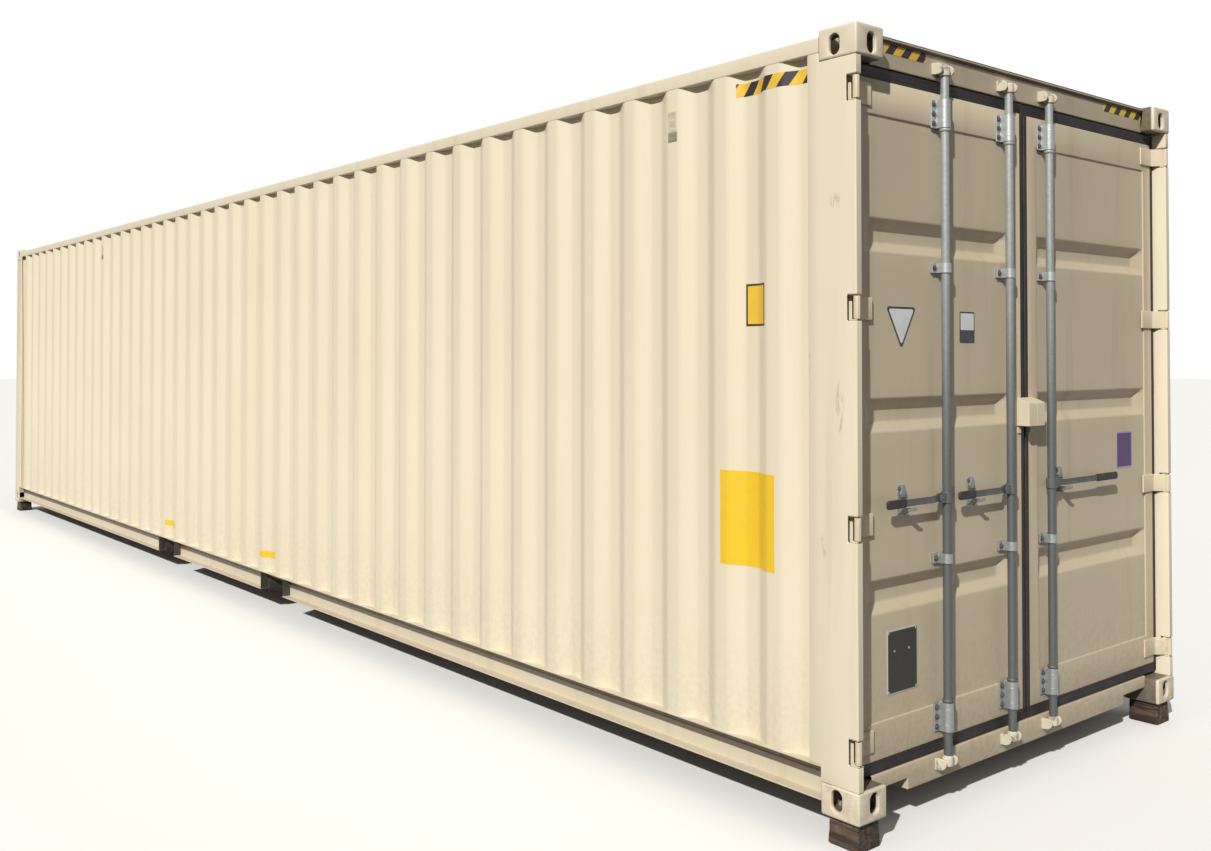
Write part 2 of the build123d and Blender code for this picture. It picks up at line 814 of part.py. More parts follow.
def lock_box():
    """The half of the lock box on the +Y door, with a sloped top, open below and at the seam."""
    front = leaf_front + box_reach
    outer = [(leaf_front, box_foot), (front, box_foot), (front, box_head - box_slope), (leaf_front, box_head)]
    inner = [(leaf_front - past, box_foot - past), (front - box_sheet, box_foot - past),
             (front - box_sheet, box_head - box_slope - box_sheet), (leaf_front - past, box_head - box_sheet)]
    return along_y(outer, leaf_middle, box_half) - along_y(inner, leaf_middle - past, box_half - box_sheet)


def ventilators():
    """Small pressed covers high on both side walls, each on a raised face of the wall."""
    pieces = []
    middle = rail_foot - vent_top_gap - vent_height / 2
    for rib in vent_ribs:
        x = post_back - rib_face / 2 - (rib + 0.5) * rib_pitch
        cover = Box(vent_width, vent_depth, vent_height)
        cover = chamfer(cover.faces().sort_by(Axis.Y)[-1].edges(), vent_edge)
        cover = Pos(x, wall_outer + vent_depth / 2, middle) * cover
        pieces += [cover, other_side(cover)]
    return pieces


os.makedirs("parts", exist_ok=True)

write("corner_blocks", *corner_blocks())
write("bottom_castings", *four_corners(casting(True)))
top_casting = Pos(0, 0, height) * mirror(casting(False), about=Plane.XY)
write("top_castings", *four_corners(top_casting))
for side_name, place in (("right", lambda s: s), ("left", other_side)):
    write(side_name + "_door_post", place(door_post()))
    write(side_name + "_hinge_lugs", *[place(p) for p in hinge_lugs()])
    write(side_name + "_front_post", place(front_post()))
    write(side_name + "_top_rail", place(top_rail()))
    write(side_name + "_bottom_rail", *[place(p) for p in bottom_rail()])
    write(side_name + "_side_wall", place(side_wall()))
    write(side_name + "_door_frame", place(leaf_frame()))
    write(side_name + "_door_panel", place(leaf_panel()))
    write(side_name + "_hinge_blades", *[place(p) for p in hinge_blades()])
    write(side_name + "_lock_box", place(lock_box()))
write("right_door_gasket", leaf_gasket(0))
write("left_door_gasket", other_side(leaf_gasket(gasket_seam)))
write("front_wall", front_wall())
write("roof", roof())
write("door_header", door_header())
write("door_sill", door_sill())
write("front_top_rail", front_top_rail())
write("front_bottom_rail", front_bottom_rail())
write("gooseneck_tunnel", tunnel())
write("cross_members", *cross_members())
write("fork_pockets", *fork_pockets())
write("floor_boards", *floor_boards())
write("ventilators", *ventilators())

rods = (("outer_left", -outer_rod_y, -1, outer_handle, left_grip, outer_handle - left_catch_inset),
        ("inner_left", -inner_rod_y, -1, inner_handle, left_grip, inner_handle - left_catch_inset),
        ("right", inner_rod_y, 1, right_handle, right_grip, right_catch))
keepers = []
catches = []
for rod_name, rod_y, rod_side, reach, grip_length, catch_distance in rods:
    write(rod_name + "_lock_rod", lock_rod(rod_y) + handle_hub(rod_y, rod_side))
    write(rod_name + "_cams", *cams(rod_y, rod_side))
    write(rod_name + "_handle", handle(rod_y, rod_side, reach, grip_length))
    keepers += [keeper(rod_y, keeper_level_bottom, -1), keeper(rod_y, keeper_level_top, 1)]
    catches.append(handle_catch(rod_y, rod_side, catch_distance))
write("cam_keepers", *keepers)
write("left_handle_catches", *catches[:2])
write("right_handle_catch", catches[2])
write("left_rod_brackets", *rod_brackets((-outer_rod_y, -inner_rod_y), -1))
write("right_rod_brackets", *rod_brackets((inner_rod_y,), -1))
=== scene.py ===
import json
import math

import bmesh
import bpy
import numpy as np
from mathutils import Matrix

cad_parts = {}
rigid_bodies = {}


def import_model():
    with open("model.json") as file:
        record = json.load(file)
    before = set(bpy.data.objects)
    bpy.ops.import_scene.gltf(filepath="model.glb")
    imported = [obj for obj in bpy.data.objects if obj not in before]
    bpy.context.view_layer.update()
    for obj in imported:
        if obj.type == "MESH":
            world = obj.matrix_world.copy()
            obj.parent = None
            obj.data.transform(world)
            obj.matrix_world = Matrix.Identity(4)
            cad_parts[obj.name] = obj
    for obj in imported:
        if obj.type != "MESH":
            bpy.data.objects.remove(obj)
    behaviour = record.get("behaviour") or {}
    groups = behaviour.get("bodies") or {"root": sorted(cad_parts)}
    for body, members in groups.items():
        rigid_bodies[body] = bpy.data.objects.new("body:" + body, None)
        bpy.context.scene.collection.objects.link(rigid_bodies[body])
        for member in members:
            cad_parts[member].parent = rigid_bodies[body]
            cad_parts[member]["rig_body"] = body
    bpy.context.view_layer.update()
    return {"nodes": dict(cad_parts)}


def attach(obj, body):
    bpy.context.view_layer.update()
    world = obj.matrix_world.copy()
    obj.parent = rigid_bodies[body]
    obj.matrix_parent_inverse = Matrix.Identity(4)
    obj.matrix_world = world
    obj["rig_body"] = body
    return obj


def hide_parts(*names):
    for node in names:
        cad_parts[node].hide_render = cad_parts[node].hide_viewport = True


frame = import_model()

# Camera and light
# A person's eye height beside the door corner, looking along the side and the door end.
# One warm sun 35 degrees up, off the left door corner, and a broad soft light from above that opens the
# shadows.
camera_data = bpy.data.cameras.new("view")
camera_data.sensor_width = 36
camera_data.lens = 34.71
camera_data.shift_x = -0.0072
camera_data.shift_y = -0.0756
camera_data.clip_end = 300
camera = bpy.data.objects.new("view", camera_data)
camera.location = (8.7542, -4.5732, 1.7935)
camera.rotation_euler = (math.radians(91.008), math.radians(0.015), math.radians(50.158))
bpy.context.scene.collection.objects.link(camera)
bpy.context.scene.camera = camera
bpy.context.scene.view_settings.view_transform = "Standard"

for name, way, energy, width, colour in (
        ("sun", (1.0, -1.95, 1.52), 3.87, 1.2, (1.0, 0.98, 0.94)),
        ("overhead", (0.0, 0.0, 1.0), 0.95, 180, (1.0, 0.98, 0.95))):
    lamp_data = bpy.data.lights.new(name, "SUN")
    lamp_data.energy = energy
    lamp_data.angle = math.radians(width)
    lamp_data.color = colour
    lamp = bpy.data.objects.new(name, lamp_data)
    lamp.rotation_euler = (0, math.atan2(math.hypot(way[0], way[1]), way[2]), math.atan2(way[1], way[0]))
    bpy.context.scene.collection.objects.link(lamp)

sky = bpy.data.worlds.new("sky")
sky.use_nodes = True
sky.node_tree.nodes["Background"].inputs["Color"].default_value = (1.0, 0.98, 0.95, 1)
sky.node_tree.nodes["Background"].inputs["Strength"].default_value = 0.06
bpy.context.scene.world = sky


# Timber blocks
# Four offcuts of old hardwood under the corners, sawn square and worn round at the edges. They are loose,
# and the bottom castings simply stand on them. Every other level is counted from their heads, at lift.
def operator(operation, reflected=False):
    """What an operator does: it adds one Math node, with the socket's own side first unless reflected."""
    def act(self, other):
        sides = (other, self) if reflected else (self, other)
        return self.tree.add("Math", {"operation": operation}, *sides)
    return act


class Sum:
    """A shader socket in a sum: each operator adds its Math node to the same tree."""
    __add__ = __radd__ = operator("ADD")
    __mul__ = __rmul__ = operator("MULTIPLY")
    __sub__, __rsub__ = operator("SUBTRACT"), operator("SUBTRACT", reflected=True)
    __truediv__, __pow__ = operator("DIVIDE"), operator("POWER")

    def __init__(self, tree, socket):
        self.tree = tree
        self.socket = socket

    def math(self, operation, *others):
        return self.tree.add("Math", {"operation": operation}, self, *others)

    def part(self, low, high):
        """0 below low, 1 above high, smooth between them."""
        settings = {"interpolation_type": "SMOOTHSTEP"}
        return self.tree.add("MapRange", settings, self, low, high, 0.0, 1.0)


class Finish:
    """A material of one finish, with its node tree."""

    def __init__(self, name):
        self.material = bpy.data.materials.new(name)
        self.material.use_nodes = True
        self.nodes = self.material.node_tree.nodes
        self.shader = self.nodes["Principled BSDF"]
        self.place = self.add("TexCoord", {}, out="Object")

    def add(self, kind, settings, *values, out=0, **named):
        """Adds a node, sets its settings first, then its inputs in order or by name."""
        node = self.nodes.new("ShaderNode" + kind)
        for key, value in settings.items():
            setattr(node, key, value)
        for key, value in [*enumerate(values), *named.items()]:
            self.feed(node.inputs[key.replace("_", " ") if isinstance(key, str) else key], value)
        return Sum(self, node.outputs[out])

    def feed(self, socket, value):
        if isinstance(value, Sum):
            self.material.node_tree.links.new(value.socket, socket)
        elif socket.type == "RGBA":
            socket.default_value = (*value, 1)
        else:
            socket.default_value = value

    def stretched(self, x, y, z):
        """Object place with each axis multiplied."""
        return self.add("Mapping", {}, self.place, (0, 0, 0), (0, 0, 0), (x, y, z))

    def noise(self, scale, detail=3.0, rough=0.55, at=None):
        """Fractal noise from 0 to 1."""
        return self.add("TexNoise", {}, Vector=at or self.place, Scale=scale, Detail=detail,
            Roughness=rough)

    def cells(self, scale, out="Distance"):
        """Scattered cells: the distance from the nearest middle, or each cell's own colour."""
        return self.add("TexVoronoi", {}, Vector=self.place, Scale=scale, out=out)

    def mix(self, share, first, second):
        """Colour mix of first to second by share."""
        node = self.nodes.new("ShaderNodeMix")
        node.data_type = "RGBA"
        for key, value in ((0, share), (6, first), (7, second)):
            self.feed(node.inputs[key], value)
        return Sum(self, node.outputs[2])

    def axis(self, name):
        """One coordinate of the object place, in metres."""
        return self.add("SeparateXYZ", {}, self.place, out=name)

    def done(self, colour, rough, metal=None, bump=None, depth=0.001, **fixed):
        self.feed(self.shader.inputs["Base Color"], colour)
        self.feed(self.shader.inputs["Roughness"], rough)
        if metal is not None:
            self.feed(self.shader.inputs["Metallic"], metal)
        if bump is not None:
            self.feed(self.shader.inputs["Normal"], self.add("Bump", {}, Strength=1.0, Distance=depth,
                Height=bump))
        for key, value in fixed.items():
            self.feed(self.shader.inputs[key.replace("_", " ")], value)
        return self.material


def skin(points, around=False, along=False, shut=False, bare=None):
    """A grid of points, rows by columns, with one quad between neighbours. Around joins the last column
    to the first, along the last row to the first, shut closes both end rows, bare masks quads away."""
    rows, columns = points.shape[:2]
    index = np.arange(rows * columns).reshape(rows, columns)
    ends = [index[:1], index[-1:]] if shut else []
    if around:
        index = np.hstack([index, index[:, :1]])
    if along:
        index = np.vstack([index, index[:1]])
    quads = np.stack([index[:-1, :-1], index[:-1, 1:], index[1:, 1:], index[1:, :-1]], -1)
    quads = quads.reshape(-1, 4) if bare is None else quads[~bare]
    return points.reshape(-1, 3), [quads, *ends]


def fitted(name, finish, body, skins, stands_for=(), edge=0.0, steps=2, turn=35):
    """Makes one piece of the given skins, one after the other, and fits it to its body."""
    starts = np.cumsum([0] + [len(points) for points, _ in skins])
    faces = [group + start for (_, groups), start in zip(skins, starts) for group in groups]
    mesh = bpy.data.meshes.new(name)
    mesh.from_pydata(np.concatenate([points for points, _ in skins]), [],
        [face for group in faces for face in group.tolist()])
    return finished(name, mesh, finish, body, stands_for, edge, steps, turn)


def finished(name, mesh, finish, body, stands_for, edge, steps, turn, flat=False):
    """Merges doubles, turns faces outward, and rounds the sharp edges. Each edge's width is the asked one
    or four tenths of the narrower face beside it, whichever is less."""
    shape = bmesh.new()
    shape.from_mesh(mesh)
    bmesh.ops.remove_doubles(shape, verts=shape.verts, dist=2e-5)
    if flat:
        bmesh.ops.dissolve_limit(shape, angle_limit=math.radians(1), verts=shape.verts, edges=shape.edges)
    bmesh.ops.recalc_face_normals(shape, faces=shape.faces)
    if edge:
        weight = shape.edges.layers.float.new("bevel_weight_edge")
        sharp = [e for e in shape.edges if e.calc_face_angle(0) > math.radians(turn)]
        for e in sharp:
            room = min(f.calc_area() for f in e.link_faces) / e.calc_length()
            e[weight] = min(1.0, 0.4 * room / edge)
    shape.to_mesh(mesh)
    shape.free()
    mesh.shade_smooth()
    piece = bpy.data.objects.new(name, mesh)
    bpy.context.scene.collection.objects.link(piece)
    if edge:
        bevel = piece.modifiers.new("rounded edges", "BEVEL")
        bevel.limit_method = "WEIGHT"
        bevel.width = edge
        bevel.segments = steps
        bevel.use_clamp_overlap = False
        bevel.harden_normals = True
    else:
        mesh.set_sharp_from_angle(angle=math.radians(turn))
    mesh.materials.clear()
    mesh.materials.append(finish)
    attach(piece, body)
    if stands_for:
        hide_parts(*stands_for)
    return piece


def eased(node, finish, edge, steps=2):
    """A CAD node's shape again, with its triangles merged into flat faces and its edges rounded."""
    solid = frame["nodes"][node]
    return finished(node + "_eased", solid.data.copy(), finish, solid["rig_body"], [node], edge, steps,
        35, flat=True)


def rounded_line(half_u, half_v, radius, steps=5):
    """Outline of a rectangle with round corners: each corner's centre plus the radius times a unit vector
    that turns through a quarter."""
    quarter = np.arange(4)[:, None] * np.pi / 2
    angle = quarter + np.linspace(0, np.pi / 2, steps + 1)
    u = np.sign(np.cos(quarter + np.pi / 4)) * (half_u - radius) + radius * np.cos(angle)
    v = np.sign(np.sin(quarter + np.pi / 4)) * (half_v - radius) + radius * np.sin(angle)
    return np.stack([u.ravel(), v.ravel()], -1)


def weathered_wood(name, dark, pale):
    """Grain lines along the length, broad dark stains and fine cracks."""
    f = Finish(name)
    grain = f.noise(30, 6, 0.6, f.stretched(0.16, 1.6, 1.6))
    stain = f.noise(9, 3)
    crack = f.noise(60, 2, 0.5, f.stretched(0.08, 1, 1)).part(0.6, 0.68)
    colour = f.mix(grain.part(0.35, 0.7) * (1 - stain.part(0.45, 0.7) * 0.7), dark, pale)
    colour = f.mix(crack * 0.8, colour, (0.012, 0.008, 0.006))
    return f.done(colour, 0.86, bump=grain - crack * 0.6, depth=0.004)


lift = 0.104
block_x, block_y, block_half_x, block_half_y, block_corner = 6.007, 1.138, 0.075, 0.066, 0.014
block_rise = np.array((0.0, 0.0015, 0.005, 0.03, 0.052, 0.075, 0.099, 0.1025, lift))
block_wear = np.array((0.007, 0.0035, 0.0005, 0, 0.0008, 0, 0.0005, 0.003, 0.006))
shrink = block_wear + block_rise * math.tan(math.radians(2.5))
rings = np.stack([rounded_line(block_half_x - s, block_half_y - s, block_corner) for s in shrink])
ripple = 5 * np.arctan2(rings[..., 1], rings[..., 0]) + 31 * block_rise[:, None]
rise = np.broadcast_to(block_rise[:, None, None], rings.shape[:2] + (1,))
blocks = []
for k, (sx, sy) in enumerate(((1, -1), (1, 1), (-1, -1), (-1, 1))):
    wave = 1 - 0.012 * (1 + np.sin(ripple + k))
    worn = rings * wave[..., None] + (sx * block_x, sy * block_y)
    blocks.append(skin(np.concatenate([worn, rise], -1), around=True, shut=True))
timber_finish = weathered_wood("old_timber", (0.030, 0.019, 0.012), (0.17, 0.115, 0.07))
fitted("timber_blocks", timber_finish, "container", blocks, ["corner_blocks"], turn=50)


# Corner castings
# Cast steel boxes at the eight corners, with a slot for the crane's twist lock above or below and
# an oval hole in both outer faces. Their skin is slightly rough under the same cream enamel.
def enamel(name, colour, shade, dust, chips, streaks, grain=1.0, hollow=False):
    """Cream enamel: broad mottling, dust in streaks down the sheet, and small chips to rust. A hollow
    piece, such as a casting, is painted dark inside as shade."""
    f = Finish(name)
    broad = f.noise(0.9, 4)
    run = f.noise(1.0, 5, 0.6, f.stretched(9, 9, 0.55))
    fine = f.noise(38, 4, 0.65)
    height = f.axis("Z")
    foot = 1 - height.part(0.18, 0.95)
    dirt = (run.part(0.5, 0.78) * streaks + foot * fine.part(0.35, 0.7) * 0.35) * dust
    colour = f.mix(broad.part(0.3, 0.72), colour, shade)
    colour = f.mix(dirt, colour, (0.36, 0.27, 0.17))
    spot = (1 - f.cells(7.0).part(0.02, 0.075)) * fine.part(0.5, 0.62)
    spot = spot * f.noise(2.1, 2).part(0.62, 0.7) * chips
    colour = f.mix(spot, colour, (0.17, 0.07, 0.03))
    # Painted shade inside a hollow piece: its inner faces are drawn dark.
    if hollow:
        far_x, far_y = f.axis("X").math("ABSOLUTE"), f.axis("Y").math("ABSOLUTE")
        room = (1 - far_x.part(6.0785, 6.086)) * (1 - far_y.part(1.2015, 1.209)) * far_x.part(5.930, 5.935)
        colour = f.mix(room * (0.75 + fine * 0.25), colour, (0.085, 0.066, 0.045))
    rough = 0.36 + broad * 0.14 + dirt * 0.4 + spot * 0.3
    bump = fine * 0.25 + f.noise(7, 2) * 0.6 - spot * 0.5
    return f.done(colour, rough, bump=bump, depth=0.0006 * grain)


def rounded_box(low, high, radius, steps=3):
    """A box with round edges: the points of a sphere of that radius, each eighth of it moved out to its
    own corner. Rows run from foot to head and columns round from +X."""
    rise = np.radians(np.r_[np.linspace(-90, 0, steps + 1), np.linspace(0, 90, steps + 1)])
    turn = np.radians((np.arange(4)[:, None] * 90 + np.linspace(0, 90, steps + 1)).ravel())
    rise, turn = np.meshgrid(rise, turn, indexing="ij")
    row, column = np.indices(rise.shape)
    quarter = column // (steps + 1)
    outer = np.stack([(quarter % 3 == 0), quarter < 2, row > steps], -1)
    way = np.stack([np.cos(rise) * np.cos(turn), np.cos(rise) * np.sin(turn), np.sin(rise)], -1)
    return np.where(outer, high - radius, low + radius) + radius * way


def oval(half_u, half_v):
    """A circle cut in two and drawn apart along its longer side."""
    angle = np.arange(48) * np.pi / 24
    radius = min(half_u, half_v)
    u = radius * np.cos(angle) + (half_u - radius) * np.sign(np.round(np.cos(angle), 9))
    v = radius * np.sin(angle) + (half_v - radius) * np.sign(np.round(np.sin(angle), 9))
    return np.stack([u, v], -1)


def laid(points, level, axes):
    """Plane points put on a level: axes names where u, v and the level go."""
    out = np.empty(points.shape[:-1] + (3,))
    for place, value in zip(axes, (points[..., 0], points[..., 1], level)):
        out[..., "xyz".index(place)] = value
    return out


def holed_face(low, high, centre, hole, level, axes):
    """A flat rectangle with a hole: a triangle from each step of the hole to the corner of its quarter,
    and one more on each side of the rectangle."""
    count = len(hole)
    corners = np.array([(high[0], high[1]), (low[0], high[1]), (low[0], low[1]), (high[0], low[1])])
    points = laid(np.concatenate([corners, hole + centre]), level, axes)
    step = np.arange(count)
    near = np.stack([step * 4 // count, 4 + (step + 1) % count, 4 + step], -1)
    side = np.arange(4)
    far = np.stack([side, (side + 1) % 4, 4 + (side + 1) * count // 4 % count], -1)
    return points, [near, far]


def bottom_casting():
    """The +X +Y casting: a rounded box outside, a square room inside, and a rounded lip at each hole."""
    low, high = np.array((5.918, 1.057, 0.0)), np.array((6.096, 1.219, 0.118))
    side_plate, foot_plate, side_hole, lock_slot = 0.015, 0.028, (0.0255, 0.0395), (0.062, 0.03175)
    room_low, room_high = low + (side_plate, side_plate, foot_plate), high - side_plate
    middle = np.array((5.9925, 1.1295, 0.066))
    edge, lip, steps = 0.009, 0.004, 3
    box = rounded_box(low, high, edge, steps)
    bare = np.zeros((box.shape[0] - 1, box.shape[1]), bool)
    bare[steps, [steps, box.shape[1] - 1]] = True
    points, (quads, foot, head) = skin(box, around=True, shut=True, bare=bare)
    skins, shut_sides = [(points, [quads, head])], []
    for axes, half, plate, outside, way in (
            ("yzx", side_hole, side_plate, high, -1), ("xzy", side_hole, side_plate, high, -1),
            ("xyz", lock_slot, foot_plate, low, 1)):
        u, v, w = ("xyz".index(a) for a in axes)
        at, level, opened = middle[[u, v]], outside[w], np.array(half) + lip
        inner, rings = level + way * plate, []
        for turn in np.radians((0, 30, 60, 90)):
            line = oval(*(opened - lip * math.sin(turn))) + at
            rings.append(laid(line, level + way * lip * (1 - math.cos(turn)), axes))
        rings.append(laid(oval(*half) + at, inner, axes))
        skins.append(skin(np.stack(rings), around=True))
        skins.append(holed_face(low[[u, v]] + edge, high[[u, v]] - edge, at, oval(*opened), level, axes))
        skins.append(holed_face(room_low[[u, v]], room_high[[u, v]], at, oval(*half), inner, axes))
        corner = np.array([(room_low[u], room_low[v]), (room_high[u], room_low[v]),
            (room_high[u], room_high[v]), (room_low[u], room_high[v])])
        far_level = (room_high if way > 0 else room_low)[w]
        shut_sides.append((laid(corner, far_level, axes), [np.array([[0, 1, 2, 3]])]))
    return skins + shut_sides


def mirrored(skins, x=1, y=1, z=1, rise=0.0):
    """The same skins with some coordinates changed in sign, then raised."""
    return [(points * (x, y, z) + (0, 0, rise), groups) for points, groups in skins]


casting_paint = enamel("casting_enamel", (0.72, 0.64, 0.49), (0.68, 0.60, 0.45), 0.8, 1.4, 0.3, 2.5, True)
casting = bottom_casting()
for end, z, level in (("bottom", 1, lift), ("top", -1, lift + 2.896)):
    castings = [s for x in (1, -1) for y in (1, -1) for s in mirrored(casting, x, y, z, level)]
    fitted(end + "_corner_castings", casting_paint, "container", castings,
        [end + "_castings"])


# Posts
# Pressed steel plate folded and welded into boxes between the castings. The door posts have a
# nose with a window at each hinge. They take the knocks: scuffs show the primer.
def scuffed_enamel(name, colour, shade, marks, shade_band_heights=None):
    """Cream enamel with grey-brown scuffs at the given places: each is an ellipse in X and Z, broken by
    stretched noise. A dark band of painted shade lies from the first of the given heights up, half as dark
    above the second one, and ends at the third, on what is less than 1.166 m from the middle. It draws
    the top flange's shadow on a channel's web deeper and taller."""
    f = Finish(name)
    broad = f.noise(0.9, 4)
    fine = f.noise(42, 4, 0.65)
    run = f.noise(1.0, 5, 0.6, f.stretched(9, 9, 0.55)).part(0.5, 0.8) * 0.3
    x, z = f.axis("X"), f.axis("Z")
    scrape = f.noise(26, 4, 0.7, f.stretched(2.2, 2.2, 0.5)).part(0.5, 0.62)
    rubbed = 0
    for at_x, at_z, half_x, half_z in marks:
        reach = ((x - at_x) / half_x) ** 2.0 + ((z - at_z) / half_z) ** 2.0
        rubbed = (1 - reach.part(0.4, 1.0)) * scrape + rubbed
    colour = f.mix(broad.part(0.3, 0.72), colour, shade)
    colour = f.mix(run, colour, (0.42, 0.33, 0.22))
    colour = f.mix(rubbed * 0.45, colour, (0.30, 0.24, 0.17))
    # Painted shade under the channel's top flange: a dark band on the web, strongest below the flange's real
    # shadow.
    if shade_band_heights:
        first, second, third = (z.part(height - 0.002, height + 0.002) for height in shade_band_heights)
        inboard = 1 - f.axis("Y").math("ABSOLUTE").part(1.164, 1.168)
        film = first * (1 - second * 0.45) * (1 - third) * inboard
        colour = f.mix(film * (0.85 + fine * 0.15), colour, (0.070, 0.053, 0.032))
    chip = (1 - f.cells(6.0).part(0.02, 0.07)) * f.noise(2.3, 2).part(0.6, 0.68) * fine.part(0.48, 0.6)
    colour = f.mix(chip, colour, (0.17, 0.07, 0.03))
    return f.done(colour, 0.38 + broad * 0.12 + run * 0.4, bump=fine * 0.25 + f.noise(7, 2) * 0.6,
        depth=0.0007)
def notched(mesh, way, far_x, high_z):
    """Cuts the corner below high_z and short of far_x out of a box of plates: splits the mesh at both
    planes, drops the corner's faces, and closes the cut plates with flat faces."""
    shape = bmesh.new()
    shape.from_mesh(mesh)
    bmesh.ops.remove_doubles(shape, verts=shape.verts, dist=2e-5)
    planes = ((0, way * far_x), (2, high_z))
    for axis, level in planes:
        bmesh.ops.bisect_plane(shape, geom=[*shape.verts, *shape.edges, *shape.faces],
            plane_co=np.eye(3)[axis] * level, plane_no=np.eye(3)[axis])
    middles = [(f, f.calc_center_median()) for f in shape.faces]
    corner = [f for f, m in middles if m[0] * way < far_x - 1e-5 and m[2] < high_z - 1e-5]
    bmesh.ops.delete(shape, geom=corner, context="FACES")
    rim = [e for e in shape.edges if e.is_boundary]
    bend = {v for e in rim for v in e.verts if all(abs(v.co[a] - level) < 1e-5 for a, level in planes)}
    bend = sorted(bend, key=lambda v: v.co[1])
    rungs = [shape.edges.new(pair) for pair in zip(bend[::2], bend[1::2])]
    for axis, level in planes:
        flat = [e for e in rim + rungs if all(abs(v.co[axis] - level) < 1e-5 for v in e.verts)]
        bmesh.ops.edgenet_fill(shape, edges=flat)
    shape.to_mesh(mesh)
    shape.free()
    return mesh


post_marks = [(6.013, 1.591, 0.022, 0.12), (5.871, 1.717, 0.012, 0.10), (5.941, 1.092, 0.028, 0.05),
    (5.99, 2.36, 0.03, 0.03)]
frame_paint = scuffed_enamel("frame_enamel", (0.735, 0.655, 0.50), (0.70, 0.62, 0.47), post_marks)
rail_end, rail_head = 5.918, lift + 0.176
for side in ("left", "right"):
    for end, way, edge in (("door", 1, 0.005), ("front", -1, 0.006)):
        post = f"{side}_{end}_post"
        plates = notched(frame["nodes"][post].data.copy(), way, rail_end, rail_head)
        finished(post + "_box", plates, frame_paint, "container", [post], edge, 3, 35,
            flat=True)


# Side walls
# Weathering steel sheet 2 mm thick, pressed into upright ribs and welded along all four edges.
# The ribs wander slightly, as pressed sheet does, but lie true near the welds at head and foot.
def soft_ramp(x, bend):
    """0 before the bend, x after it, and a parabola between, so that a fold has a radius."""
    return np.where(x < -bend, 0, np.where(x > bend, x, (x + bend) ** 2 / (4 * bend)))


def fold_depth(along, start, pitch, face, slope, bend=0.22):
    """Share of the rib depth at each place along a folded sheet: a ramp between the faces that is
    clipped at both ends, with round bends. Faces repeat each pitch, the first one starting at start."""
    off = np.abs((along - start - face / 2 + pitch / 2) % pitch - pitch / 2)
    t = (off - face / 2) / slope
    return soft_ramp(t, bend) - soft_ramp(t - 1, bend)


def fold_places(count, start, pitch, face, slope, bend=0.22, steps=3):
    """Where a folded sheet is sampled: a few places through every bend."""
    near = np.linspace(-bend, bend, 2 * steps + 1) * slope
    bends = np.r_[near + face / 2, near + face / 2 + slope]
    bends = np.r_[-bends[::-1], bends]
    centres = start + face / 2 + np.arange(count + 1) * pitch
    places = (centres[:, None] + bends).ravel()
    end = start + count * pitch + face
    return np.unique(np.round(np.r_[start, places[(places > start) & (places < end)], end], 6))


def thick(front, back):
    """Front and back of a sheet as grids of the same size, with a rim that joins their borders."""
    def border(g):
        return np.concatenate([g[0, :-1], g[:-1, -1], g[-1, :0:-1], g[:0:-1, 0]])
    return [skin(front), skin(back), skin(np.stack([border(front), border(back)]), around=True)]


def backed(front, along, out, sheet):
    """The other side of a folded sheet: each point moved by the sheet's thickness across its fold. Along
    is the axis that crosses the folds, out the one that they stand out on."""
    lean = np.gradient(front[0, :, out], front[0, :, along])
    normal = np.zeros((len(lean), 3))
    normal[:, out], normal[:, along] = 1, -lean
    return front + sheet * normal / np.hypot(lean, 1)[:, None]


sides = (("right", 1), ("left", -1))
wall_ribs = 41
wall_start, wall_pitch, wall_face, wall_slope, wall_depth = -5.864, 11.656 / wall_ribs, 0.072, 0.068, 0.036
wall_low, wall_high = rail_head, lift + 2.815
wall_base, wall_sheet = 1.179, 0.002


def wall_surface(x, z):
    """Distance of the wall's outer skin from the middle plane: folds, plus a slow wander under 1 mm."""
    wander = 0.0005 * np.sin(3.1 * x + 1.7 * z) + 0.0004 * np.sin(7.7 * x - 2.3 * z + 1)
    fade = np.clip((z - wall_low) / 0.25, 0, 1) * np.clip((wall_high - z) / 0.25, 0, 1)
    folds = fold_depth(x, wall_start, wall_pitch, wall_face, wall_slope)
    return wall_base + wall_depth * folds - np.abs(wander) * fade


wall_x = fold_places(wall_ribs, wall_start, wall_pitch, wall_face, wall_slope)
grid_x, grid_z = np.meshgrid(wall_x, np.linspace(wall_low, wall_high, 11))
wall_front = np.stack([grid_x, wall_surface(grid_x, grid_z), grid_z], -1)
wall_back = backed(wall_front, 0, 1, -wall_sheet)
wall_back[:, [0, -1], 0] = wall_front[:, [0, -1], 0]
wall_paint = enamel("wall_enamel", (0.745, 0.665, 0.505), (0.725, 0.64, 0.48), 0.45, 0.8, 0.2)
for side, sign in sides:
    fitted(side + "_folded_wall", wall_paint, "container",
        mirrored(thick(wall_front, wall_back), 1, sign), [side + "_side_wall"], turn=60)


# Rails
# The top rails are square tubes. The bottom rails are deep channels that open outward, so that the top
# flange shades the web. At both fork pockets only a lintel is left, which meets the edge of the floor.
def slab(line, low, high, axes):
    """A plate with the given outline, between two levels."""
    return skin(np.stack([laid(line, w, axes) for w in (low, high)]), around=True, shut=True)


def tube(line, inner, start, end, axes):
    """A hollow bar: outer line out, inner line back, joined at both ends."""
    rows = [(line, start), (line, end), (inner, end), (inner, start)]
    return skin(np.stack([laid(l, w, axes) for l, w in rows]), around=True, along=True)
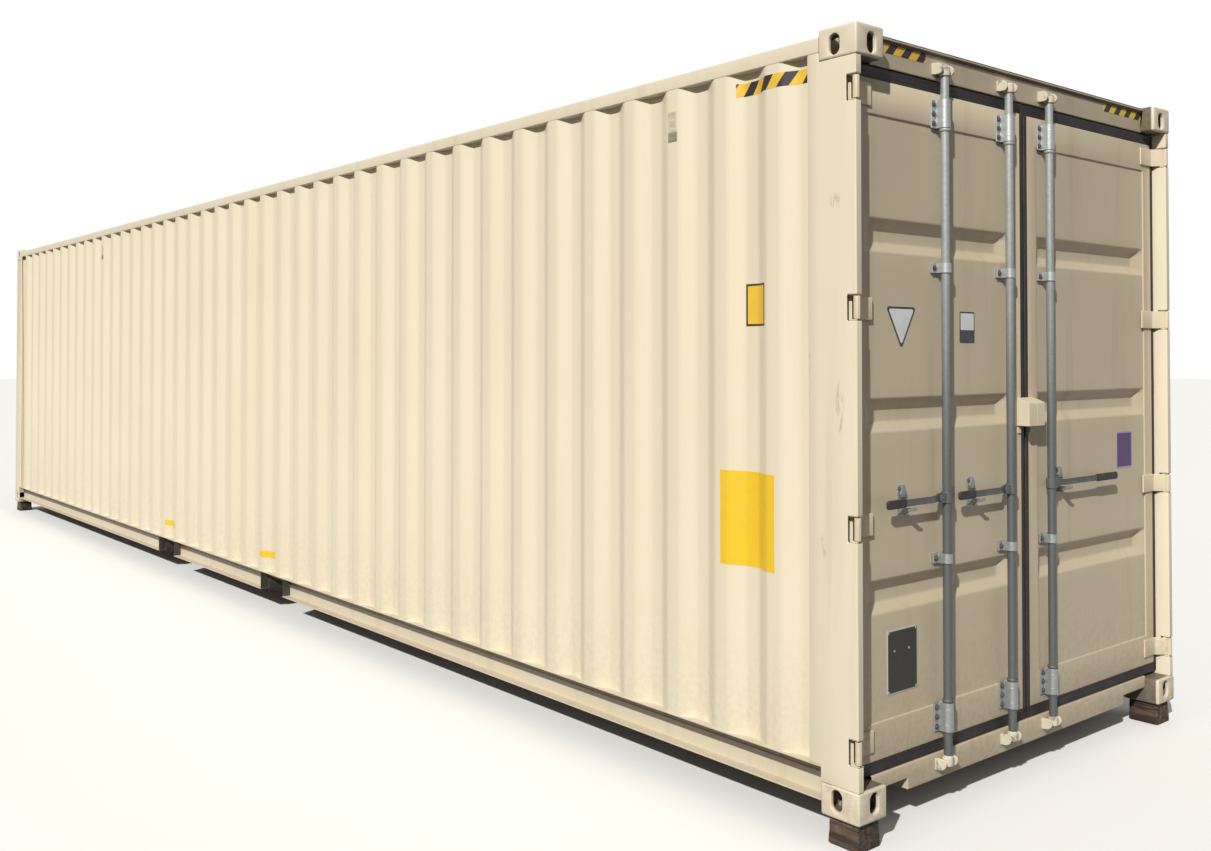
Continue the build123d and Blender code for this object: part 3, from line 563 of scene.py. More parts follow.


# The dark band on the bottom channels' webs under the top flange is painted shade.
rail_paint = scuffed_enamel("rail_enamel", (0.605, 0.535, 0.405), (0.575, 0.505, 0.38), [],
    (lift + 0.108, lift + 0.136, lift + 0.168))
tube_centre = (1.187, lift + 2.842)
top_tube = tube(rounded_line(0.03, 0.03, 0.006) + tube_centre,
    rounded_line(0.027, 0.027, 0.003) + tube_centre, -rail_end, rail_end, "yzx")
plate, web_y, flange_y, rail_foot = 0.006, 1.157, 1.217, lift + 0.048
step_y, step_z = web_y - 0.004, lift + 0.138
pocket_near, pocket_far = 0.865, 1.225
channel = np.array([(web_y, rail_foot), (flange_y, rail_foot), (flange_y, rail_foot + plate),
    (web_y + plate, rail_foot + plate), (web_y + plate, rail_head - plate), (flange_y, rail_head - plate),
    (flange_y, rail_head), (step_y, rail_head), (step_y, step_z), (web_y, step_z)])
lintel = np.array([(step_y, step_z), (web_y + plate, step_z), *channel[4:8]])
end_plate = np.array([(web_y + 0.001, rail_foot + 0.001), (flange_y - 0.002, rail_foot + 0.001),
    (flange_y - 0.002, rail_head - 0.002), (web_y + 0.001, rail_head - 0.002)])
bars = [slab(channel, -pocket_near, pocket_near, "yzx")]
for end in (-1, 1):
    bars += [slab(channel, end * pocket_far, end * rail_end, "yzx"),
        slab(lintel, end * (pocket_near - 0.002), end * (pocket_far + 0.002), "yzx"),
        slab(end_plate, end * rail_end, end * (rail_end + plate), "yzx")]
for side, sign in sides:
    fitted(side + "_top_tube", frame_paint, "container", mirrored([top_tube], 1, sign),
        [side + "_top_rail"])
    fitted(side + "_bottom_channel", rail_paint, "container", mirrored(bars, 1, sign),
        [side + "_bottom_rail"], edge=0.0015)


# Front end and roof
# The closed end is folded sheet between two posts with a box beam above and below. The roof is
# thin sheet with low cross ribs, lapped and welded on the top tubes, and dust lies on it.
front_start, front_pitch, front_face, front_slope, front_depth = -1.052, 0.25, 0.104, 0.026, 0.046
front_plane, front_foot, front_head, front_half, sheet = -6.062, lift + 0.138, lift + 2.778, 1.170, 0.002
front_y = fold_places(8, front_start, front_pitch, front_face, front_slope, 0.3)
front_y = np.r_[-front_half, front_y, front_half]
grid_y, grid_z = np.meshgrid(front_y, np.linspace(front_foot, front_head, 9))
fold = fold_depth(grid_y, front_start, front_pitch, front_face, front_slope, 0.3)
fold = np.where(np.abs(grid_y) < 1.051, fold, 0)
front_skin = np.stack([front_plane + front_depth * fold, grid_y, grid_z], -1)
fitted("front_folded_wall", wall_paint, "container",
    thick(front_skin, backed(front_skin, 1, 0, sheet)), ["front_wall"], turn=60)

roof_start, roof_pitch, roof_face, roof_slope, roof_depth = -5.817, 0.348, 0.150, 0.018, 0.020
roof_level, roof_half_x, roof_half_y = lift + 2.872, 5.9225, 1.1625
roof_x = fold_places(33, roof_start, roof_pitch, roof_face, roof_slope, 0.35, 2)
roof_x = np.r_[-roof_half_x, roof_x, roof_half_x]
grid_x, grid_y = np.meshgrid(roof_x, np.linspace(-roof_half_y, roof_half_y, 15))
fold = fold_depth(grid_x, roof_start, roof_pitch, roof_face, roof_slope, 0.35)
fold = np.where(np.abs(grid_x) < 5.8165, fold, 0)
sag = 0.0015 * (1 + np.sin(2.9 * grid_x + 1.3 * grid_y)) * np.cos(grid_y * math.pi / (2 * roof_half_y))
roof_skin = np.stack([grid_x, grid_y, roof_level - roof_depth * fold - sag], -1)
f = Finish("roof_enamel")
worn = f.noise(1.3, 5, 0.6)
speck = f.noise(55, 4, 0.7)
sunk = 1 - f.axis("Z").part(lift + 2.853, lift + 2.868)
grime = sunk * worn.part(0.3, 0.6) * 0.5 + speck.part(0.55, 0.75) * 0.3
roof_colour = f.mix(worn.part(0.35, 0.7), (0.66, 0.57, 0.42), (0.58, 0.49, 0.35))
roof_colour = f.mix(grime, roof_colour, (0.26, 0.20, 0.13))
roof_colour = f.mix(f.noise(3.7, 4, 0.7).part(0.66, 0.74) * 0.7, roof_colour, (0.22, 0.11, 0.05))
roof_paint = f.done(roof_colour, 0.5 + grime * 0.3, bump=speck + worn, depth=0.0008)
fitted("roof_sheet", roof_paint, "container", thick(roof_skin, roof_skin - (0, 0, sheet)),
    ["roof"], turn=60)
eased("front_top_rail", frame_paint, 0.004)
eased("front_bottom_rail", frame_paint, 0.004)
floor_stop = np.array([(-6.064, 0.135), (-6.008, 0.135), (-6.008, 0.1385), (-6.064, 0.1385)]) + (0, lift)
fitted("front_floor_angle", frame_paint, "container",
    [slab(floor_stop, -1.156, 1.156, "xzy")])


# Header and sill
# Pressed box beams above and below the doors. A rain lip of dark brown angle lies on the header, with
# one leg standing up in front of it, and the sill is notched beside each casting.
# Painted shade: the door end wears the walls' cream enamel painted darker, for the grazing sun that falls on
# it. The header, sill, door frames and pressed panels all use it.
door_paint_darkened_for_shade = enamel("door_enamel_darkened_for_shade", (0.555, 0.472, 0.338), (0.525, 0.445, 0.32), 0.9, 1.0, 0.4)
eased("door_header", door_paint_darkened_for_shade, 0.004, 3)
eased("door_sill", door_paint_darkened_for_shade, 0.004, 3)
lip_line = np.array([(5.99, 2.877), (6.0332, 2.877), (6.0332, 2.869), (6.0362, 2.869), (6.0362, 2.892),
    (6.0332, 2.892), (6.0332, 2.880), (5.99, 2.880)]) + (0, lift)
f = Finish("brown_primer")
blotch = f.noise(7, 5, 0.7)
lip_colour = f.mix(blotch.part(0.35, 0.7), (0.07, 0.042, 0.028), (0.16, 0.10, 0.065))
brown_primer = f.done(lip_colour, 0.7, bump=f.noise(60, 3), depth=0.001)
fitted("header_rain_lip", brown_primer, "container",
    [slab(lip_line, -1.0565, 1.0565, "xzy")], edge=0.001)


# Base
# Rolled steel channels welded across between the bottom rails, two lined fork pockets, and the
# raised gooseneck tunnel at the closed end. All of it is coated in dark wax and road dust.
f = Finish("underbody_wax")
film = f.noise(5, 5, 0.65)
crust = f.noise(70, 3, 0.6)
wax_colour = f.mix(film.part(0.35, 0.7), (0.030, 0.026, 0.022), (0.10, 0.085, 0.065))
wax_colour = f.mix(crust.part(0.55, 0.75) * 0.5, wax_colour, (0.19, 0.15, 0.11))
underbody_wax = f.done(wax_colour, 0.62 + film * 0.2, bump=crust + film * 2, depth=0.0015)
for node in ("cross_members", "fork_pockets", "gooseneck_tunnel"):
    eased(node, underbody_wax, 0.0015, 1)
cheek_x = (pocket_near - plate, pocket_far)
cheeks = [slab(end_plate, end * x, end * (x + plate), "yzx") for end in (-1, 1) for x in cheek_x]
for side, sign in sides:
    fitted(side + "_pocket_cheeks", underbody_wax, "container", mirrored(cheeks, 1, sign),
        edge=0.0015)


# Floor
# Marine plywood boards in two rows, screwed to the cross members, worn pale along the middle by
# forklift wheels.
f = Finish("floor_plywood")
ply_grain = f.noise(24, 6, 0.6, f.stretched(0.1, 1.4, 1))
tracks = f.noise(1.1, 3, 0.5, f.stretched(0.35, 2.2, 1))
plies = f.add("TexWave", {"wave_type": "BANDS", "bands_direction": "Z"}, Vector=f.place, Scale=70.0,
    Distortion=0.6, Detail=2.0)
ply_colour = f.mix(ply_grain.part(0.3, 0.72), (0.22, 0.115, 0.055), (0.36, 0.21, 0.11))
ply_colour = f.mix(tracks.part(0.52, 0.72) * 0.6, ply_colour, (0.42, 0.31, 0.20))
ply_colour = f.mix(plies.part(0.7, 0.95) * 0.25, ply_colour, (0.12, 0.06, 0.03))
floor_plywood = f.done(ply_colour, 0.55 + tracks * 0.25, bump=ply_grain, depth=0.0012)
eased("floor_boards", floor_plywood, 0.002, 2)


# Doors
# Each leaf is a welded frame of hollow steel section with a pressed sheet set 6 mm back in it. Three
# long grooves with sloped, mitred ends stiffen the sheet.
for side in ("left", "right"):
    eased(side + "_door_frame", door_paint_darkened_for_shade, 0.005, 3)

panel_face_x, panel_sheet = 6.020, 0.002
panel_y, panel_z = (0.107, 1.083), (lift + 0.319, lift + 2.590)
panel_width = panel_y[1] - panel_y[0]
groove_levels = [lift + z for z in (0.781, 1.461, 2.141)]
groove_half, groove_slope, groove_mitre, groove_depth, groove_bend = 0.064, 0.038, 0.060, 0.032, 0.16


def rounded_step(t):
    """0 to 1 over one unit, with a round bend at both ends."""
    return soft_ramp(t, groove_bend) - soft_ramp(t - 1, groove_bend)


def panel_depth(y, z):
    """Depth of the pressing: for each groove the lesser of a clipped ramp across it and one along it, with
    round bends, plus a slow bulge of the sheet between the grooves."""
    lengthwise = rounded_step(np.minimum(y - panel_y[0], panel_y[1] - y) / groove_mitre)
    depth = 0
    for level in groove_levels:
        across = rounded_step((groove_half - np.abs(z - level)) / groove_slope)
        depth = np.maximum(depth, np.minimum(across, lengthwise))
    bulge = 0.0008 * np.sin(math.pi * (y - panel_y[0]) / panel_width) * np.sin(9.2 * z + 2 * y)
    return groove_depth * depth + np.abs(bulge)


def panel_lines():
    """Grid lines of the sheet, close together through every bend."""
    bend = np.linspace(-groove_bend, groove_bend, 5)
    ends = np.r_[0.0, np.array([0.25, 0.5, 0.75, 1.0]) * groove_mitre, groove_mitre * (1 + bend)]
    y = np.unique(np.r_[panel_y[0] + ends, panel_y[1] - ends, np.linspace(*panel_y, 12)])
    folds = np.r_[groove_half - groove_slope * bend, groove_half - groove_slope * (1 + bend), 0.045]
    z = [level + s * folds for level in groove_levels for s in (-1, 1)]
    return y, np.unique(np.r_[np.concatenate(z), groove_levels, np.linspace(*panel_z, 28)])


line_y, line_z = panel_lines()
grid_y, grid_z = np.meshgrid(line_y, line_z)
panel_front = np.stack([panel_face_x - panel_depth(grid_y, grid_z), grid_y, grid_z], -1)
slope_z, slope_y = np.gradient(panel_front[..., 0], line_z, line_y)
normal = np.stack([np.ones_like(slope_y), -slope_y, -slope_z], -1)
normal /= np.linalg.norm(normal, axis=-1, keepdims=True)
panel_back = panel_front - panel_sheet * normal
panel_back[:, [0, -1], 1] = panel_front[:, [0, -1], 1]
panel_back[[0, -1], :, 2] = panel_front[[0, -1], :, 2]
for side, sign in sides:
    fitted(side + "_pressed_panel", door_paint_darkened_for_shade, side + "_door",
        mirrored(thick(panel_front, panel_back), 1, sign), [side + "_door_panel"], turn=50)


# Seals
# Black extruded rubber strip riveted round each leaf. A hollow back part fills the gap and a thin lip
# leans forward against the frame.
f = Finish("seal_rubber")
bloom = f.noise(6, 5, 0.65)
dusting = f.noise(80, 3, 0.6)
rubber_colour = f.mix(bloom.part(0.35, 0.75), (0.014, 0.009, 0.011), (0.034, 0.025, 0.027))
rubber_colour = f.mix(dusting.part(0.6, 0.8) * 0.35, rubber_colour, (0.16, 0.13, 0.10))
seal_rubber = f.done(rubber_colour, 0.55 + bloom * 0.25, bump=dusting, depth=0.0004)
seal_line = np.array([(0.0, 5.985), (0.0, 6.0250), (0.10, 6.0250), (0.16, 6.0205), (0.42, 6.0190),
    (0.50, 6.0210), (0.56, 6.0195), (0.70, 6.0200), (0.84, 6.0230), (0.95, 6.0255), (1.0, 6.0250),
    (1.0, 6.0150), (0.90, 6.0050), (0.80, 5.985)])
spread, seal_x = seal_line[:, :1], seal_line[:, 1:]
seal_foot, seal_head = lift + 0.177 - 0.042 * spread, lift + 2.724 + 0.045 * spread
half_lip = np.array([(0, 6.0255), (0, 6.0266), (0.0015, 6.0276), (0.010, 6.0272)])
for side, sign, middle_width in (("right", 1, 0.0006), ("left", -1, 0.004)):
    inner_y, outer_y = 0.007 - middle_width * spread, 1.178 + 0.003 * spread
    rings_y = np.hstack([inner_y, outer_y, outer_y, inner_y]) * sign
    rings_z = np.hstack([seal_foot, seal_foot, seal_head, seal_head])
    ring = skin(np.stack([np.repeat(seal_x, 4, 1), rings_y, rings_z], -1), around=True, along=True)
    lips = []
    for low_y, high_y in ((0.0072, 0.0285), (1.1545, 1.1778)):
        lip_edge = np.concatenate([half_lip + (low_y, 0), half_lip[::-1] * (-1, 1) + (high_y, 0)])
        lips.append(slab(lip_edge, lift + 0.178, lift + 2.723, "yxz"))
    fitted(side + "_rubber_seal", seal_rubber, side + "_door", [ring, *mirrored(lips, 1, sign)],
        [side + "_door_gasket"], turn=40)


# Hinges
# Four forged blades a side, welded on the leaf and cranked into the window of the post, where each
# turns on a steel pin between two lugs.
hinge_paint = enamel("hinge_enamel", (0.70, 0.605, 0.44), (0.62, 0.53, 0.38), 1.0, 2.0, 0.5, 2.0)
for side in ("left", "right"):
    eased(side + "_hinge_blades", hinge_paint, 0.0025, 3)
    eased(side + "_hinge_lugs", hinge_paint, 0.002, 2)


# Lock rods
# Round galvanised tube on every door, turned by a hub that carries the handle. Pressed collars beside
# the end bearings keep it from riding up.
def zinc(name, shade, grain, metal=0.72, dull=0.0):
    """Hot-dip zinc: faint blue-grey spangle, dull streaks and white bloom. Dull is how much darker it is
    weathered low down than at the head."""
    f = Finish(name)
    spangle = f.add("SeparateColor", {}, f.cells(90.0 * grain, "Color"))
    streak = f.noise(20, 4, 0.6, f.stretched(1, 1, 0.12))
    bloom = f.noise(5, 4)
    weak, pale = (tuple(shade * c for c in tone) for tone in ((0.46, 0.49, 0.49), (0.54, 0.57, 0.57)))
    dark, white = (tuple(shade * c for c in tone) for tone in ((0.31, 0.325, 0.32), (0.64, 0.64, 0.60)))
    colour = f.mix(streak.part(0.5, 0.75) * 0.5, f.mix(spangle, weak, pale), dark)
    colour = f.mix(bloom.part(0.58, 0.75) * 0.3, colour, white)
    if dull:
        colour = f.mix((1 - f.axis("Z").part(1.2, 2.6)) * dull, colour, (0.072, 0.079, 0.079))
    return f.done(colour, 0.36 + streak * 0.2 + bloom * 0.12, metal=metal - bloom * 0.25,
        bump=streak + f.noise(150, 2) * 0.3, depth=0.0004)


def turned(line, x, y):
    """A line of radius and height carried round an upright axis, closed at both ends."""
    angle = np.arange(40) * np.pi / 20
    radius, height = line[:, :1], line[:, 1:]
    around_axis = [x + radius * np.cos(angle), y + radius * np.sin(angle), height + 0 * angle]
    return skin(np.stack(around_axis, -1), around=True, shut=True)


rod_zinc = zinc("rod_zinc", 0.72, 1.0, 0.45, 0.85)
rod_x, rod_radius, rod_low, rod_high = 6.058, 0.017, lift + 0.120, lift + 2.786
rod_places = {"outer_left": (-0.620, -1), "inner_left": (-0.160, -1), "right": (0.160, 1)}
bearing_low, bearing_high, bearing_tall = lift + 0.270, lift + 2.640, 0.112
handle_level, handle_pin = lift + 1.128, 0.038
rod_line = np.array([(rod_radius - 0.003, rod_low), (rod_radius, rod_low + 0.003),
    (rod_radius, rod_high - 0.003), (rod_radius - 0.003, rod_high)])
collar = np.array([(0.0165, 0.002), (0.0215, 0.002), (0.0225, 0.004), (0.0225, 0.011), (0.0205, 0.014),
    (0.0165, 0.015)])
sleeve = np.array([(0.0165, -0.0225), (0.0205, -0.0225), (0.0225, -0.020), (0.0225, 0.020),
    (0.0205, 0.0225), (0.0165, 0.0225)])
cheek = np.array([(0.016, -0.020), (0.050, -0.016), (0.0565, -0.010), (0.058, 0.0), (0.0565, 0.010),
    (0.050, 0.016), (0.016, 0.020)])
turned_lines = [rod_line, collar + (0, bearing_low + bearing_tall / 2),
    collar * (1, -1) + (0, bearing_high - bearing_tall / 2), sleeve + (0, handle_level)]
for rod, (y, way) in rod_places.items():
    skins = [turned(line, rod_x, y) for line in turned_lines]
    for low_x, high_x in ((-0.012, -0.0062), (0.0062, 0.012)):
        skins.append(slab(cheek * (way, 1) + (y, handle_level), rod_x + low_x, rod_x + high_x, "yzx"))
    pin = rounded_line(0.0075, 0.0075, 0.0074, 5) + (y + way * handle_pin, handle_level)
    skins.append(slab(pin, rod_x - 0.0145, rod_x + 0.0145, "yzx"))
    fitted(rod + "_rod_tube", rod_zinc, rod + "_rod", skins, [rod + "_lock_rod"], edge=0.0012)


# Cams and keepers
# Forged cams on the rod ends turn between the ears of keepers that are welded on the header and the sill
# and are open at the front. Both are painted cream and worn to dark steel where they rub.
f = Finish("cam_enamel")
rub = f.noise(22, 4, 0.65)
cast = f.noise(90, 3)
cam_colour = f.mix(f.noise(4, 3).part(0.3, 0.7), (0.655, 0.60, 0.475), (0.59, 0.53, 0.405))
cam_colour = f.mix(rub.part(0.55, 0.64) * 0.85, cam_colour, (0.24, 0.20, 0.16))
cam_paint = f.done(cam_colour, 0.42 + rub * 0.2, bump=cast + rub, depth=0.0008)

turn = np.radians(np.linspace(60, 300, 25))
cam_line = np.concatenate([0.021 * np.stack([np.sin(turn), np.cos(turn)], -1),
    [(-0.0115, 0.0225), (-0.0085, 0.0262), (-0.002, 0.027), (0.0045, 0.0255), (0.0085, 0.022),
    (0.0125, 0.017)]])
cam_half = 0.0175
cam_hub = np.array([(0.0, -0.022), (0.014, -0.022), (0.0165, -0.020), (0.0165, 0.020), (0.014, 0.022),
    (0.0, 0.022)])
ear = np.array([(0.0, -0.013), (0.016, -0.014), (0.029, -0.014), (0.038, -0.0115), (0.044, -0.005),
    (0.047, 0.003), (0.046, 0.011), (0.041, 0.020), (0.033, 0.027), (0.022, 0.0315), (0.0, 0.033)])
bridge = np.array([(0.0, 0.0255), (0.024, 0.0255), (0.027, 0.0275), (0.027, 0.031), (0.024, 0.033),
    (0.0, 0.033)])
bead = rounded_line(0.0035, 0.0235, 0.0034, 3)
keeper_x, ear_off, ear_half, bridge_half = 6.030, 0.0375, 0.005, 0.036
keeper_skins = []
for rod, (y, way) in rod_places.items():
    cam_skins = []
    for level, out in ((lift + 0.098, -1), (lift + 2.808, 1)):
        cam_skins.append(slab(cam_line * (1, way) + (rod_x, y), level - cam_half, level + cam_half, "xyz"))
        cam_skins.append(turned(cam_hub + (0, level), rod_x, y))
        flip, at = (1, out), (keeper_x, level)
        for ear_y in (y - ear_off, y + ear_off):
            keeper_skins.append(slab(ear * flip + at, ear_y - ear_half, ear_y + ear_half, "xzy"))
            bead_line = bead + (6.0315, level + out * 0.0095)
            for bead_y in (ear_y - 0.0065, ear_y + 0.0065):
                keeper_skins.append(slab(bead_line, bead_y - 0.0035, bead_y + 0.0035, "xzy"))
        keeper_skins.append(slab(bridge * flip + at, y - bridge_half, y + bridge_half, "xzy"))
    fitted(rod + "_forged_cams", cam_paint, rod + "_rod", cam_skins, [rod + "_cams"],
        edge=0.002, steps=3)
fitted("forged_keepers", cam_paint, "container", keeper_skins, ["cam_keepers"], edge=0.0025,
    steps=3)


# Rod brackets
# Pressed zinc-plated straps bent round each rod. The long ones top and bottom are bolted down through a
# wing with three bolts, the short guides with one.
bracket_zinc = zinc("bracket_zinc", 0.9, 1.4, 0.85, 0.25)
f = Finish("dull_bolt")
bolt_rust = f.noise(120, 4, 0.7)
bolt_colour = f.mix(bolt_rust.part(0.4, 0.65), (0.13, 0.125, 0.12), (0.10, 0.07, 0.05))
dull_bolt = f.done(bolt_colour, 0.5 + bolt_rust * 0.2, metal=0.55 - bolt_rust * 0.3, bump=bolt_rust,
    depth=0.0003)


def bolt(x, y, z, radius=0.0085, tall=0.0075):
    """A hexagon head on a round washer, its axis along X."""
    turns = (np.arange(6) * np.pi / 3, np.arange(20) * np.pi / 10)
    hexagon, circle = (np.stack([np.cos(a), np.sin(a)], -1) for a in turns)
    rings = ((radius, 0.001), (radius, tall * 0.85), (radius * 0.86, tall))
    head = skin(np.stack([laid(hexagon * r + (y, z), x + h, "yzx") for r, h in rings]), around=True,
        shut=True)
    return [head, slab(circle * 1.35 * radius + (y, z), x - 0.001, x + 0.0018, "yzx")]


def strap_line(seat):
    """Plan of a strap: in along the wing, up the outside leg, round the rod, down the other leg, and back
    inside. Distances are from the rod's axis, Y first, X second."""
    bore, shell, root = 0.0173, 0.0228, seat - rod_x
    over = np.radians(np.linspace(180, 0, 25))
    outer = shell * np.stack([np.cos(over), np.sin(over)], -1)
    inner = bore * np.stack([np.cos(over), np.sin(over)], -1)[::-1]
    wing_top = 6.032 - rod_x
    wing = np.array([(-bore, root), (-0.0503, root), (-0.0513, root + 0.001), (-0.0513, wing_top - 0.001),
        (-0.0503, wing_top), (-shell - 0.004, wing_top), (-shell - 0.001, wing_top + 0.001),
        (-shell, wing_top + 0.004)])
    return np.concatenate([wing, outer, [(shell, root), (bore, root)], inner])


rib_turn = np.radians(np.linspace(-84, 84, 19))
rib_edge = np.array([(0.0222, -0.004), (0.0232, -0.002), (0.0232, 0.002), (0.0222, 0.004), (0.0200, 0.0)])
long_strap = (bearing_tall / 2, 6.026, (-0.038, 0.0, 0.038), (-0.030, 0.030))
guide = (0.019, 6.020, (0.0,), ())
straps = ((bearing_low, long_strap), (bearing_high, long_strap), (lift + 0.889, guide),
    (lift + 2.030, guide))
for side, rods in (("left", ("outer_left", "inner_left")), ("right", ("right",))):
    strap_skins, bolt_skins = [], []
    for y in (rod_places[rod][0] for rod in rods):
        for level, (half, seat, drops, ribs) in straps:
            strap_skins.append(slab(strap_line(seat) + (y, rod_x), level - half, level + half, "yxz"))
            for drop in drops:
                bolt_skins += bolt(6.0320, y - 0.0375, level + drop)
            for rib in ribs:
                radius, height = rib_edge[:, :1], level + rib + rib_edge[:, 1:]
                swell = [rod_x + radius * np.cos(rib_turn), y + radius * np.sin(rib_turn),
                    height + 0 * rib_turn]
                strap_skins.append(skin(np.stack(swell, -1), along=True))
    fitted(side + "_rod_straps", bracket_zinc, side + "_door", strap_skins,
        [side + "_rod_brackets"], edge=0.0012)
    fitted(side + "_strap_bolts", dull_bolt, side + "_door", bolt_skins, edge=0.0006, steps=1)


# Handles
# Flat forged bars that hinge on the rod hubs, cranked clear of the door. The end of each bar is dipped
# in dark rubber for the hand.
f = Finish("handle_grip")
sweat = f.noise(30, 4, 0.6)
rings_on_grip = f.add("TexWave", {"wave_type": "BANDS", "bands_direction": "Y"}, Vector=f.place, Scale=60.0)
grip_colour = f.mix(sweat.part(0.4, 0.7), (0.022, 0.017, 0.016), (0.060, 0.048, 0.042))
handle_grip = f.done(grip_colour, 0.6 + sweat * 0.2, bump=rings_on_grip * 0.6 + sweat, depth=0.0006)
handle_zinc = zinc("handle_zinc", 0.25, 1.5, 0.8)


def bar_rings(reach, grip, way, y):
    """Rounded-rectangle sections along a handle, of the steel bar and then of its dipped end: each has its
    own distance from the rod, step forward, half thickness and half height."""
    step, half_x, half_z = 0.012, 0.0040, 0.0130
    bar = [(0.025, 0, 0.0032, 0.006), (0.027, 0, half_x, 0.010), (0.032, 0, half_x, half_z)]
    crank = ((0.062, 0), (0.072, 0.0006), (0.083, 0.0045), (0.093, 0.0085), (0.102, 0.0115), (0.112, step),
        (reach - grip + 0.010, step), (reach - 0.004, step))
    bar += [(far, forward, half_x, half_z) for far, forward in crank]
    swell = ((grip, 0.0044, 0.0135), (grip - 0.003, 0.0058, 0.0152), (grip - 0.012, 0.0060, 0.0168),
        (0.012, 0.0060, 0.0170), (0.005, 0.0058, 0.0150), (0.001, 0.0046, 0.0110), (0, 0.0030, 0.0080))
    dip = [(reach - back, step, across, up) for back, across, up in swell]
    out = []
    for stations in (bar, dip):
        rings = []
        for far, forward, across, up in stations:
            line = rounded_line(across, up, across * 0.8, 3) + (rod_x + forward, handle_level)
            rings.append(laid(line, y + way * far, "xzy"))
        out.append(skin(np.stack(rings), around=True, shut=True))
    return out


handle_sizes = {"outer_left": (0.395, 0.115), "inner_left": (0.395, 0.115), "right": (0.555, 0.190)}
for rod, (reach, grip) in handle_sizes.items():
    y, way = rod_places[rod]
    bar, dip = bar_rings(reach, grip, way, y)
    boss = rounded_line(0.0125, 0.0125, 0.0124, 6) + (y + way * handle_pin, handle_level)
    boss = slab(boss, rod_x - 0.0052, rod_x + 0.0052, "yzx")
    fitted(rod + "_handle_flat_bar", handle_zinc, rod + "_handle_bar", [bar, boss],
        [rod + "_handle"], edge=0.0008)
    fitted(rod + "_handle_dip", handle_grip, rod + "_handle_bar", [dip], turn=60)


# Handle catches
# A back plate bolted on the door, a shelf with a raised lip that the handle rests in, and a pressed tongue
# on a pin above it.
catch_zinc = zinc("catch_zinc", 0.62, 1.6)
shelf = np.array([(6.020, 0.0), (6.0815, 0.0), (6.0815, 0.006), (6.086, 0.006), (6.086, -0.002),
    (6.0835, -0.006), (6.0240, -0.0215), (6.020, -0.0215)]) + (0, handle_level - 0.024)
web = np.array([(6.0245, -0.024), (6.0600, -0.026), (6.0560, -0.036), (6.0245, -0.052)]) + (0, handle_level)
tongue = np.array([(-0.011, 0.018), (0.011, 0.018), (0.013, 0.045), (0.010, 0.058), (0.004, 0.0615),
    (-0.004, 0.0615), (-0.010, 0.058), (-0.013, 0.045)])
hinge_pin = rounded_line(0.0045, 0.0045, 0.0044, 4) + (6.030, handle_level + 0.030)
for side, catches, node in (
        ("left", (-0.865, -0.405), "left_handle_catches"), ("right", (0.280,), "right_handle_catch")):
    plate_skins, bolt_skins = [], []
    for y in catches:
        back_plate = rounded_line(0.023, 0.059, 0.009, 4) + (y, handle_level + 0.003)
        plate_skins += [slab(back_plate, 6.020, 6.025, "yzx"), slab(shelf, y - 0.0125, y + 0.0125, "xzy")]
        for way in (-1, 1):
            plate_skins.append(slab(web, y + way * 0.011, y + way * 0.0145, "xzy"))
        plate_skins += [slab(tongue + (y, handle_level), 6.0245, 6.0340, "yzx"),
            slab(hinge_pin, y - 0.018, y + 0.018, "xzy")]
        for drop, off in ((-0.045, 0.0165), (0.050, -0.0165)):
            bolt_skins += bolt(6.025, y + off, handle_level + drop, 0.006, 0.005)
    fitted(side + "_catch_plates", catch_zinc, side + "_door", plate_skins, [node],
        edge=0.0012)
    fitted(side + "_catch_bolts", dull_bolt, side + "_door", bolt_skins, edge=0.0005, steps=1)


# Lock box
# A folded sheet hood over the seam between the doors, which keeps cutters off a padlock. It is in two
# halves, one welded on each leaf, so that either leaf opens alone.
# Painted shade: the hood's cream is painted part way darker, between the walls' enamel and the door end's
# darkened one, for its front in grazing sun.
hood_paint_part_shaded = enamel("hood_enamel_part_shaded", (0.66, 0.575, 0.43), (0.63, 0.55, 0.41), 0.4, 0.0, 0.2)
hood_sheet, hood_front, hood_low, hood_tail = 0.004, 6.086, lift + 1.385, lift + 1.505
roof_line = np.array([(6.026, hood_tail), (6.060, lift + 1.4945), (6.080, lift + 1.486),
    (6.0845, lift + 1.483), (hood_front, lift + 1.478), (hood_front, hood_low)])
inner_line = np.array([(6.082, hood_low), (6.082, lift + 1.4765), (6.0795, lift + 1.4805),
    (6.059, lift + 1.490), (6.026, hood_tail - hood_sheet)])
end_line = np.array([(6.026, hood_low), (6.0835, hood_low), (6.0835, lift + 1.4795), (6.0595, lift + 1.4915),
    (6.026, hood_tail - 0.002)])
tab_line = rounded_line(0.012, 0.013, 0.004, 3) + (0.047, lift + 1.366)
hood = [slab(np.concatenate([roof_line, inner_line]), 0.0005, 0.062, "xzy"),
    slab(end_line, 0.0585, 0.0622, "xzy"), slab(tab_line, 6.026, 6.032, "yzx")]
for side, sign in (("left", -1), ("right", 1)):
    fitted(side + "_sheet_hood", hood_paint_part_shaded, side + "_door", mirrored(hood, 1, sign),
        [side + "_lock_box"], edge=0.0015, steps=3)


# Ventilators
# Small pressed covers high on both walls, with louvres that let air out and keep rain off.
f = Finish("vent_cover")
vent_dust = f.noise(40, 4, 0.6)
vent_colour = f.mix(vent_dust.part(0.4, 0.7), (0.60, 0.53, 0.39), (0.48, 0.41, 0.29))
